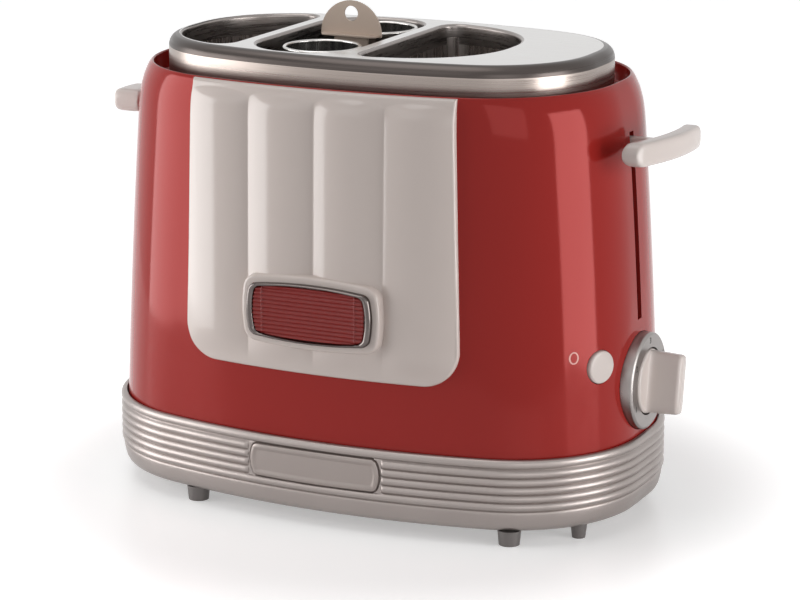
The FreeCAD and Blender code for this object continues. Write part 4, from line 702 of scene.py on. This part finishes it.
cover = {"top": 246.0, "foot": 222.0, "roll": 6.0, "sheet": 0.8, "rimRoll": 1.6, "collar": 235.0}
wells = {
    "middle": -23.0, "reach": 93.0, "depth": 62.0,
    # for each one: where its band begins and ends, the rounds of its corners, and the stretch of its rays
    "left": (-130, -67.5, 12, 12, (24, 52)),
    "centre": (-58.5, -1, 26, 20, (28, 60)),
    "right": (8, 90, 12, 12, (31, 55)),
}
wellOval = Oval(wells["reach"], wells["depth"], 218, 600, 53)
wellEnds = wells["middle"] - wells["reach"], wells["middle"] + wells["reach"]


# One well: the shared oval met with a straight band, its band corners rounded. A band's edge that lies
# outside the oval is left out.
def wellField(left, right, leftCorner, rightCorner):
    def field(x, y):
        shape = wellOval.distance(x - wells["middle"], y)
        if left > wellEnds[0]:
            shape = roundedMeet(shape, left - x, leftCorner)
        if right < wellEnds[1]:
            shape = roundedMeet(shape, x - right, rightCorner)
        return shape

    return field


# Flat sheet between closed loops of points: the loops' edges are filled by triangles.
def sheetBetween(loops, height):
    flat = np.vstack([np.asarray(loop, float) for loop in loops])
    edges, start = [], 0
    for loop in loops:
        along = np.arange(len(loop))
        edges.append(np.stack([along, (along + 1) % len(loop)], -1) + start)
        start += len(loop)
    mesh = bpy.data.meshes.new("sheet")
    corners = np.column_stack([flat, np.full(len(flat), height)])
    mesh.from_pydata(corners.tolist(), np.vstack(edges).tolist(), [])
    bm = bmesh.new()
    bm.from_mesh(mesh)
    bmesh.ops.triangle_fill(bm, edges=bm.edges, use_beauty=True, normal=(0, 0, 1))
    bm.to_mesh(mesh)
    bm.free()
    points, corners = np.zeros(len(mesh.vertices) * 3), np.zeros(len(mesh.loops), int)
    mesh.vertices.foreach_get("co", points)
    mesh.loops.foreach_get("vertex_index", corners)
    bpy.data.meshes.remove(mesh)
    points, faces = points.reshape(-1, 3), corners.reshape(-1, 3)
    first, second, third = points[faces[0]]
    return points, faces if np.cross(second - first, third - first)[2] > 0 else faces[:, ::-1]


# the skirt and the roll outside, then the same sheet from below; these take darker copies of the flat's steel,
# which paint shade on them
turns = coverOval.evenTurns(400)
rows = [(0.0, z) for z in (cover["foot"], 229.0, 236.0)]
rollFoot = cover["top"] - cover["roll"]
for a in np.linspace(0, math.pi / 2, 9):
    rows.append((-cover["roll"] * (1 - math.cos(a)), rollFoot + cover["roll"] * math.sin(a)))
sheet = cover["sheet"]
under = [(-6.0, 245.2), (-3.2, 244.4), (-1.4, 241.8), (-sheet, 239.0), (-sheet, cover["foot"])]
outside = ovalRows([(coverOval, grow, z) for grow, z in rows], turns)
inside = ovalRows([(coverOval, grow, z) for grow, z in under], turns)
outsideFaces = gridFaces(len(outside), len(turns))
skirtFaces = 3 * len(turns)
shapes = [(outside, [outsideFaces[:skirtFaces], outsideFaces[skirtFaces:]])]
shapes.append((inside, [gridFaces(*inside.shape[:2])]))
dress = ["coverSkirtShaded", "coverRollShaded", "coverWellShaded"]

# the rolled rims and short collars of the three wells, and the flat sheet between all of them; the collars take
# a darker copy of the steel, as painted shade down the wells
rim = cover["rimRoll"]
rimTurns = np.linspace(0, math.pi / 2, 6)
collar = [(rim * (1 - math.sin(a)), cover["top"] - rim * (1 - math.cos(a))) for a in rimTurns]
collar += [(0.0, 240.0), (0.0, cover["collar"]), (sheet, cover["collar"]), (sheet, 245.0)]
loops = [outside[-1, :, :2]]
for which in ("left", "centre", "right"):
    left, right, leftCorner, rightCorner, stretch = wells[which]
    middle = (max(left, wellEnds[0]) + min(right, wellEnds[1])) / 2
    field = wellField(left, right, leftCorner, rightCorner)
    ringX, ringY = levelRing(field, [level for level, _ in collar], 220, stretch, (middle, 0))
    heights = np.broadcast_to(np.array([z for _, z in collar])[:, None], ringX.shape)
    shapes.append((np.stack([ringX, ringY, heights], -1), [gridFaces(*ringX.shape)[:, ::-1]]))
    loops.append(np.stack([ringX[0], ringY[0]], -1))
    dress.append("coverWellShaded")
flat, flatFaces = sheetBetween(loops, cover["top"])
shapes.append((flat, [flatFaces]))
dress.append("coverFlat")
points, faces = joined(*shapes)
topCover = addPiece(
    "steel_cover", points, faces, "coverFlat",
    standsFor=["top_cover"], sharp=35, outward=False,
)
# the flat's steel first, then its darker copies that paint shade
coats = ["coverFlat", "coverSkirtShaded", "coverRollShaded", "coverWellShaded"]
for coat in coats[1:]:
    topCover.data.materials.append(made[coat])
coatOf = np.concatenate([np.full(len(block), coats.index(coat)) for block, coat in zip(faces, dress)])
topCover.data.polygons.foreach_set("material_index", coatOf)
cleanMesh(topCover.data, merge=2e-6, outward=False)
finishMesh(topCover.data, 35)
print("top cover ready")


# Fluted front panel.

panel = {
    "foot": 82.5, "top": 231.5, "halfFoot": 79.5, "halfTop": 75.0,
    "corner": 20.0, "proud": 2.0, "edge": 1.5, "gap": 0.3, "border": 2.2,
    "lean": 0.0302,  # how far the rounded edge's line comes in for each unit up
}
flute = {
    "pitch": 38.5, "count": 4, "rise": 3.2, "foot": 84.5, "full": 100.0,
    "head": 228.5, "arch": 4.0, "fade": 9.0,
}


# The swelling of the flutes: a circular arc across each one, times a parabola that closes it softly under
# an arched head, times a smooth step that lets it fade out below.
def fluteRise(x, z):
    half = flute["pitch"] / 2
    radius = (half**2 + flute["rise"] ** 2) / (2 * flute["rise"])
    across = (x / flute["pitch"]) % 1 * flute["pitch"] - half
    inside = np.abs(x) < flute["pitch"] * flute["count"] / 2
    bow = np.sqrt(radius**2 - across**2) - (radius - flute["rise"])
    head = flute["head"] - flute["arch"] * (1 - np.sqrt(1 - np.clip(np.abs(across) / half, 0, 1) ** 2))
    toHead = np.clip((head - z) / flute["fade"], 0, 1)
    upper = toHead * (2 - toHead)
    share = np.clip((z - flute["foot"]) / (flute["full"] - flute["foot"]), 0, 1)
    return np.where(inside, bow * upper * share * share * (3 - 2 * share), 0)


# Half width of the panel: its sides lean evenly from foot to top, less what the foot's corner rounds take.
def panelHalf(z):
    change = (panel["halfTop"] - panel["halfFoot"]) * (z - panel["foot"]) / (panel["top"] - panel["foot"])
    into = np.clip(panel["corner"] - (z - panel["foot"]), 0, panel["corner"])
    return panel["halfFoot"] + change - panel["corner"] + np.sqrt(panel["corner"] ** 2 - into**2)


# Distance inside the panel's outline: the corner radius less the distance outside a box that is smaller
# by that radius, or the way up to the top where that is less.
def panelInset(x, z):
    beside = np.abs(x) - (panel["halfFoot"] - panel["lean"] * (z - panel["foot"]) - panel["corner"])
    below = panel["foot"] + panel["corner"] - z
    corner = np.hypot(np.maximum(beside, 0), np.maximum(below, 0)) + np.minimum(np.maximum(beside, below), 0)
    return np.minimum(panel["corner"] - corner, panel["top"] - z)


# columns stand closer near the sides, as the sine of an even turn
edgeTurn = math.pi / 2 * 0.86
across = np.sin(np.linspace(-1, 1, 360) * edgeTurn) / math.sin(edgeTurn)
footHeights = panel["foot"] + panel["corner"] * (1 - np.cos(np.linspace(0, math.pi / 2, 26)))
topHeights = panel["top"] - 1.6 * (1 - np.linspace(0, 1, 8)) ** 2
heights = np.concatenate([footHeights, np.linspace(104, 214, 70), np.linspace(215, 229.5, 30), topHeights])
x = across[None, :] * panelHalf(heights)[:, None]
z = np.broadcast_to(heights[:, None], x.shape)
inset = np.clip(panelInset(x, z) / panel["edge"], 0, 1)
rise = panel["gap"] + panel["proud"] * np.sqrt(1 - (1 - inset) ** 2) + fluteRise(x, z)
sideY = np.array([shellOval(h).sideY for h in heights])[:, None]
points = onFront(x, z, rise, sideY)
rim = np.concatenate([points[0, ::-1], points[1:, 0], points[-1, 1:], points[-2:0:-1, -1]])
border = np.vstack([rim, rim + [0, panel["border"], 0]])
points, faces = joined(
    (points, [gridFaces(*x.shape, closeColumns=False)]), (border, [gridFaces(2, len(rim))[:, ::-1]]),
)
addPiece(
    "fluted_panel", points, faces, "warmWhite",
    standsFor=["front_panel"], sharp=50, outward=False,
)

# Each outline of the badge: length, height, bow of the ends, bow of the edges and round of the corners.
badge = {
    "z": 116.0, "pitch": 2.2, "rib": 0.75, "plateY": -95.7, "ridgeX": 26.8,
    "seat": (79.2, 38.7, 2.8, 2.7, 5.0), "frame": (72.0, 31.5, 2.6, 2.5, 3.0),
    "field": (64.8, 28.3, 2.6, 2.5, 2.4), "plate": (64.2, 27.7, 2.5, 2.4, 1.5),
}


# Rings of one outline of the badge, at growths, over rays stretched as another outline.
def badgeRings(outline, growths, rays):
    def field(x, z):
        return plaque(x, z - badge["z"], *badge[outline])

    length, height = badge[rays][:2]
    return levelRing(field, growths, 320, (length / 2, height / 2), (0, badge["z"]))


# the seat: its outline at growths and depths, closed in front by its own middle
seat = [(1.0, -86.0), (0.6, -90.0), (0.1, -93.2), (-0.25, -94.0), (-0.9, -94.42), (-1.8, -94.5)]
seat.append((-5.0, -94.5))
ringX, ringZ = badgeRings("seat", [g for g, _ in seat], "seat")
ringY = np.broadcast_to(np.array([y for _, y in seat])[:, None], ringX.shape)
points = np.stack([ringX, ringY, ringZ], -1).reshape(-1, 3)
faces = [gridFaces(len(seat), 320), fanFaces((len(seat) - 1) * 320, 320, len(points))]
points = np.vstack([points, [[0, seat[-1][1], badge["z"]]]])
addPiece("badge_seat", points, faces, "warmWhite")

# the bezel runs from its outer outline to its inner one by shares, and bulges forward between them
outerX, outerZ = badgeRings("frame", 0.0, "frame")
innerX, innerZ = badgeRings("field", 0.0, "frame")
section = np.array([
    (0, -94.4), (0, -95.6), (0.05, -96.5), (0.2, -97.2), (0.42, -97.5), (0.66, -97.4), (0.86, -96.9),
    (1, -96.2), (1, -95.0),
])
share, bulge = section[:, :1], section[:, 1:]
bezel = np.stack([
    outerX * (1 - share) + innerX * share, bulge + np.zeros((1, 320)), outerZ * (1 - share) + innerZ * share,
], -1)
addPiece(
    "badge_bezel", bezel, [gridFaces(len(section), 320)], "darkChrome",
    standsFor=["badge_frame"],
)

# the plate's ribs are a wave across its height, and two thin ridges stand upright near its ends
plateX, plateZ = np.meshgrid(np.linspace(-32.1, 32.1, 240), badge["z"] + np.linspace(-13.8, 13.8, 220))
within = plaque(plateX, plateZ - badge["z"], *badge["plate"])
wave = 0.5 + 0.5 * np.cos((plateZ - badge["z"]) / badge["pitch"] * 2 * math.pi)
ridge = np.exp(-(((np.abs(plateX) - badge["ridgeX"]) / 0.35) ** 2))
plateY = badge["plateY"] - badge["rib"] * np.maximum(wave**0.7, ridge * 1.25) + np.clip(within, -0.3, 0.6)
plateFaces = [gridFaces(*plateX.shape, closeColumns=False)]
addPiece(
    "badge_ribbed_plate", np.stack([plateX, plateY, plateZ], -1), plateFaces, "badgeRed",
    standsFor=["badge_plate"], sharp=60, outward=False,
)
print("front panel and badge ready")


# Levers.

lever = {
    "z": 201.5, "stem": (4.4, 6.0), "square": 2 / 4.5, "stemSquare": 0.3,
    # reach, half width, bow, thickness, height and end round
    "wide": (166.0, 34.0, 5.0, 10.0, 12.5, 5.6), "small": (165.5, 13.0, 1.5, 17.0, 12.5, 4.5),
}


# A paddle is a row of superellipse sections along its bowed middle line, which may lean so that one end
# stands further out; at its ends the sections shrink as a quarter circle. The stem flares into it.
def paddle(name, size, node, innerX, lean=0.0, shift=0.0, sign=1):
    reach, halfWidth, bow, thickness, height, endRound = size
    share = np.sin(np.linspace(-1, 1, 81) * math.pi / 2)
    toEnd = np.clip(halfWidth * (1 - np.abs(share)) / endRound, 0, 1)
    full = np.sqrt(np.maximum(1 - (1 - toEnd) ** 2, 1e-4))[:, None]
    turns = roundTurns(64)
    c, s = np.cos(turns)[None, :], np.sin(turns)[None, :]
    x = (reach - bow * share**2 + lean * share - thickness / 2)[:, None]
    x = x + squared(c, lever["square"]) * thickness / 2 * (0.75 + 0.25 * full)
    y = np.broadcast_to((share * halfWidth + shift)[:, None], x.shape)
    z = lever["z"] + squared(s, lever["square"]) * height / 2 * (0.03 + 0.97 * full)
    along = np.array([innerX, innerX + 5, reach - thickness - 3, reach - thickness + 4])[:, None]
    flare = np.array([1, 1, 1, 1.4])[:, None]
    stemY = squared(c, lever["stemSquare"]) * lever["stem"][0] / 2 * flare
    stemZ = lever["z"] + squared(s, lever["stemSquare"]) * lever["stem"][1] / 2 * flare
    points, faces = joined(
        cappedRings(sign * x, sign * y, z),
        cappedRings(sign * np.broadcast_to(along, stemY.shape), sign * stemY, stemZ),
    )
    addPiece(name, points, faces, "handleWhite", body="carriage", standsFor=[node])


paddle("lever_wide", lever["wide"], "lever_right", 126.0, lean=4.7, shift=-2.0)
paddle("lever_small", lever["small"], "lever_left", 133.0, sign=-1)
print("levers ready")


# Dial, knob and stop button.

dial = {
    "radius": 25.7, "face": 9.1, "bore": 18.0, "numberRadius": 21.8, "numberSize": 4.6, "print": 0.05,
    "angles": (210, 150, 90, 30, -30),
}
collar = [
    (dial["bore"], dial["face"]), (dial["radius"] - 1.1, dial["face"]), (dial["radius"], dial["face"] - 0.9),
    (dial["radius"], 0), (3.6, 0), (3.6, 2), (dial["bore"], 2), (dial["bore"], dial["face"]),
]
points, faces = turnedMesh(softened(collar, 0.5), dialPlace, (1, 0, 0), 160)
addPiece("dial_collar", points, faces, "dialSilver", standsFor=["dial_ring"])

# small upright numbers round the collar's face, as thin raised print
for number, angle in zip("12345", dial["angles"]):
    curve = bpy.data.curves.new("number_" + number, "FONT")
    curve.body, curve.size, curve.extrude = number, dial["numberSize"], dial["print"]
    curve.align_x, curve.align_y = "CENTER", "CENTER"
    holder = newObject("number_" + number, curve)
    mesh = workedOut(holder)
    bpy.data.objects.remove(holder)
    flat = np.zeros(len(mesh.vertices) * 3)
    mesh.vertices.foreach_get("co", flat)
    acrossText, upText, outText = flat.reshape(-1, 3).T
    turn = math.radians(angle)
    place = dialPlace + np.stack([
        dial["face"] + dial["print"] + outText,
        acrossText + math.cos(turn) * dial["numberRadius"],
        upText + math.sin(turn) * dial["numberRadius"],
    ], -1)
    mesh.vertices.foreach_set("co", (place * unit).ravel())
    mesh.update()
    piece = newObject("number_" + number, mesh)
    mesh.materials.append(made["numberBlack"])
    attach(piece, "housing")

# The knob: a turned disc, and a bar that grows out of it. The bar's sections are superellipses that narrow
# evenly with height, are wider at the root by a falling exponential, and round off as a quarter circle.
knob = {
    "place": (145.1, 0, 75), "radius": 17.3, "grip": 33.0, "width": 10.0, "lean": 10.0,
    "edge": 17.1, "root": 7.0, "shoulder": 22.4, "tip": 24.9, "crown": 2.5, "spread": 2.6,
}
disc = [
    (0, 0), (17.0, 0), (knob["radius"], 0.4), (knob["radius"], 5.6), (knob["edge"], 6.6), (16.5, 7.3),
    (15.6, 7.65), (8, 7.7), (0, 7.7),
]
crownTurns = np.linspace(0.1, 1, 9) * math.pi / 2
levels = np.concatenate([
    np.linspace(knob["root"], 9.5, 8), np.linspace(10.2, knob["shoulder"], 10),
    knob["tip"] - knob["crown"] * np.cos(crownTurns),
])
sweep = np.exp(-(levels - knob["root"]) / 0.9)
crown = np.sqrt(np.clip(1 - np.clip((levels - knob["shoulder"]) / knob["crown"], 0, 1) ** 2, 0.0, 1))
taper = 1 - 0.05 * (levels - knob["root"]) / (knob["tip"] - knob["root"])
halfLong = (knob["grip"] / 2 * taper - 1.6 * (1 - crown))[:, None]
halfWide = (knob["width"] / 2 * taper * (0.45 + 0.55 * crown) + knob["spread"] * sweep)[:, None]
turns = roundTurns(96)
gripZ = halfLong * squared(np.sin(turns), 0.62)
gripY = halfWide * squared(np.cos(turns), 0.38)
limit = np.sqrt(np.maximum(knob["edge"] ** 2 - gripZ**2, 0))
gripY = np.clip(gripY, -limit, limit)
lean = math.radians(knob["lean"])
leanY = gripY * math.cos(lean) + gripZ * math.sin(lean)
leanZ = gripZ * math.cos(lean) - gripY * math.sin(lean)
gripX = np.broadcast_to(knob["place"][0] + levels[:, None], gripY.shape)
points, faces = joined(
    turnedMesh(softened(disc, 0.4), knob["place"], (1, 0, 0), 128),
    cappedRings(gripX, leanY, knob["place"][2] + leanZ),
)
addPiece(
    "knob_bar", points, faces, "handleWhite", body="knob",
    standsFor=["timer_knob"], sharp=35,
)

button = [
    (0, -13), (2.5, -13), (2.5, -3.5), (8.7, -3.5), (8.7, 1.2), (8.4, 2.0), (7.6, 2.5), (5, 2.6), (0, 2.6),
]
points, faces = turnedMesh(softened(button, 0.7), buttonPlace, buttonAxis, 96)
addPiece(
    "button_round", points, faces, "handleWhite", body="stop",
    standsFor=["stop_button"],
)

# the printed ring beside the button: an oval band just outside the shell, leaning back as the shell does
mark = {"y": -53.4, "z": 98.0, "half": (1.9, 2.9), "line": 0.7, "endSlope": 0.0525, "print": 0.09}
turns = roundTurns(64)
band = np.array([-0.5, -0.25, 0.25, 0.5])[:, None] * mark["line"]
markY = mark["y"] + (mark["half"][0] + band) * np.cos(turns)
markZ = mark["z"] + (mark["half"][1] + band) * np.sin(turns)
spotOval = shellOval(mark["z"])
tableTurns = np.linspace(-1.3, -0.2, 4001)
turnOf = np.interp(markY, spotOval.points(tableTurns)[1], tableTurns)
lift = np.array([0.02, mark["print"], mark["print"], 0.02])[:, None]
markX, onY = spotOval.points(turnOf, lift)
slope = mark["endSlope"] * np.cos(turnOf) + shell["depthTaper"] * np.abs(np.sin(turnOf))
shift = (markZ - mark["z"]) * slope
ring = np.stack([markX - shift * np.cos(turnOf), onY - shift * np.sin(turnOf), markZ], -1)
addPiece("stop_mark", ring, [gridFaces(*markZ.shape)], "markPink", outward=False)
print("controls ready")


# Sausage basket.

basket = {"x": -22.3, "spacing": 69.0, "radius": 20.0, "sheet": 0.8, "foot": 179.0, "top": 245.6, "bead": 1.0}
tubeOut, tubeIn = basket["radius"], basket["radius"] - basket["sheet"]
beadTurn = np.linspace(-0.6 * math.pi, 1.15 * math.pi, 14)[2:]
beadZ = basket["top"] - basket["bead"]
tube = [(tubeOut, basket["foot"]), (tubeOut, 200.0), (tubeOut, beadZ - 1.5)]
tube += [(tubeOut - 0.1 + basket["bead"] * math.cos(a), beadZ + basket["bead"] * math.sin(a)) for a in beadTurn]
tube += [(tubeIn, beadZ - 1.3), (tubeIn, 220.0), (tubeIn, 200.0), (tubeIn, basket["foot"])]
tube += [(tubeOut, basket["foot"])]
points, faces = joined(*[
    turnedMesh(tube, (basket["x"], side * basket["spacing"] / 2, 0), (0, 0, 1), 128) for side in (-1, 1)
])
addPiece(
    "basket_rings", points, faces, "basketSteel", body="basket",
    standsFor=["basket_tubes"],
)

# the tab: a flat half disc on a narrower post, pierced near its top, with a strip across its foot
tab = {
    "radius": 17.8, "foot": 246.8, "hole": 4.1, "holeZ": 257.6, "post": 10.0, "half": 0.6,
    "stripHalf": (16.4, 5.0), "stripSquare": 0.3,
}
turns = np.linspace(0, math.pi, 49)
disc = zip(tab["radius"] * np.cos(turns), tab["foot"] + tab["radius"] * np.sin(turns))
outline = [(tab["post"], basket["foot"]), (tab["post"], basket["top"]), (tab["radius"], basket["top"]), *disc]
outline += [(-tab["radius"], basket["top"]), (-tab["post"], basket["top"]), (-tab["post"], basket["foot"])]
turns = roundTurns(48)
hole = np.stack([tab["hole"] * np.cos(turns), tab["holeZ"] + tab["hole"] * np.sin(turns)], -1)


# Flat points of x and height stood up at the front of the tab.
def onTab(flat):
    return np.stack([basket["x"] + flat[:, 0], np.full(len(flat), -tab["half"]), flat[:, 1]], -1)


through = [0, 2 * tab["half"], 0]
flat, flatFaces = sheetBetween([outline, hole], 0.0)
shapes = [(onTab(flat), [flatFaces]), (onTab(flat) + through, [flatFaces[:, ::-1]])]
for loop in (np.array(outline), hole):
    near = onTab(loop)
    shapes.append((np.vstack([near, near + through]), [gridFaces(2, len(loop))]))
points, faces = joined(*shapes)
tabPlate = addPiece(
    "tab_plate", points, faces, "tabGrey", body="basket",
    standsFor=["basket_tab"], sharp=30, outward=False,
)
cleanMesh(tabPlate.data, merge=2e-6)
finishMesh(tabPlate.data, 30)
turns = roundTurns(40)
stripX = tab["stripHalf"][0] * squared(np.cos(turns), tab["stripSquare"])
stripY = tab["stripHalf"][1] * squared(np.sin(turns), tab["stripSquare"])
shrink = np.array([0.985, 1, 1, 0.985])[:, None]
stripZ = np.array([basket["top"], 245.8, 246.6, tab["foot"]])[:, None]
points, faces = cappedRings(basket["x"] + stripX * shrink, stripY * shrink, stripZ)
addPiece("tab_strip", points, faces, "tabGrey", body="basket")
print("basket ready")


# Pieces that keep the solid's own shape.

# A copy of a solid with its loose triangles joined, its flat faces whole and its round ones smooth.
def smoothCopy(node, finish, body):
    piece = frame["nodes"][node].copy()
    piece.data = piece.data.copy()
    piece.parent = None
    piece.name = node + "_smooth"
    for key in list(piece.keys()):
        del piece[key]
    bpy.context.scene.collection.objects.link(piece)
    cleanMesh(piece.data, merge=1e-6, flatter=0.2)
    piece.data.materials.clear()
    piece.data.materials.append(made[finish])
    finishMesh(piece.data, 32)
    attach(piece, body)
    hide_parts(node)


bodies = frame["record"]["behaviour"]["bodies"]
bodyOf = {node: body for body, members in bodies.items() for node in members}
# the feet's darker silver is painted shade under the body
special = {
    "feet": "footSilverShaded", "well_left": "wellSteel", "well_centre": "wellSteel", "well_right": "wellSteel",
}
for part in frame["record"]["subparts"]:
    node, slot = part["node"], part["material_slot"]
    if node not in replaced:
        smoothCopy(node, special.get(node, slotFinish[slot]), bodyOf[node])
print("inner pieces ready")
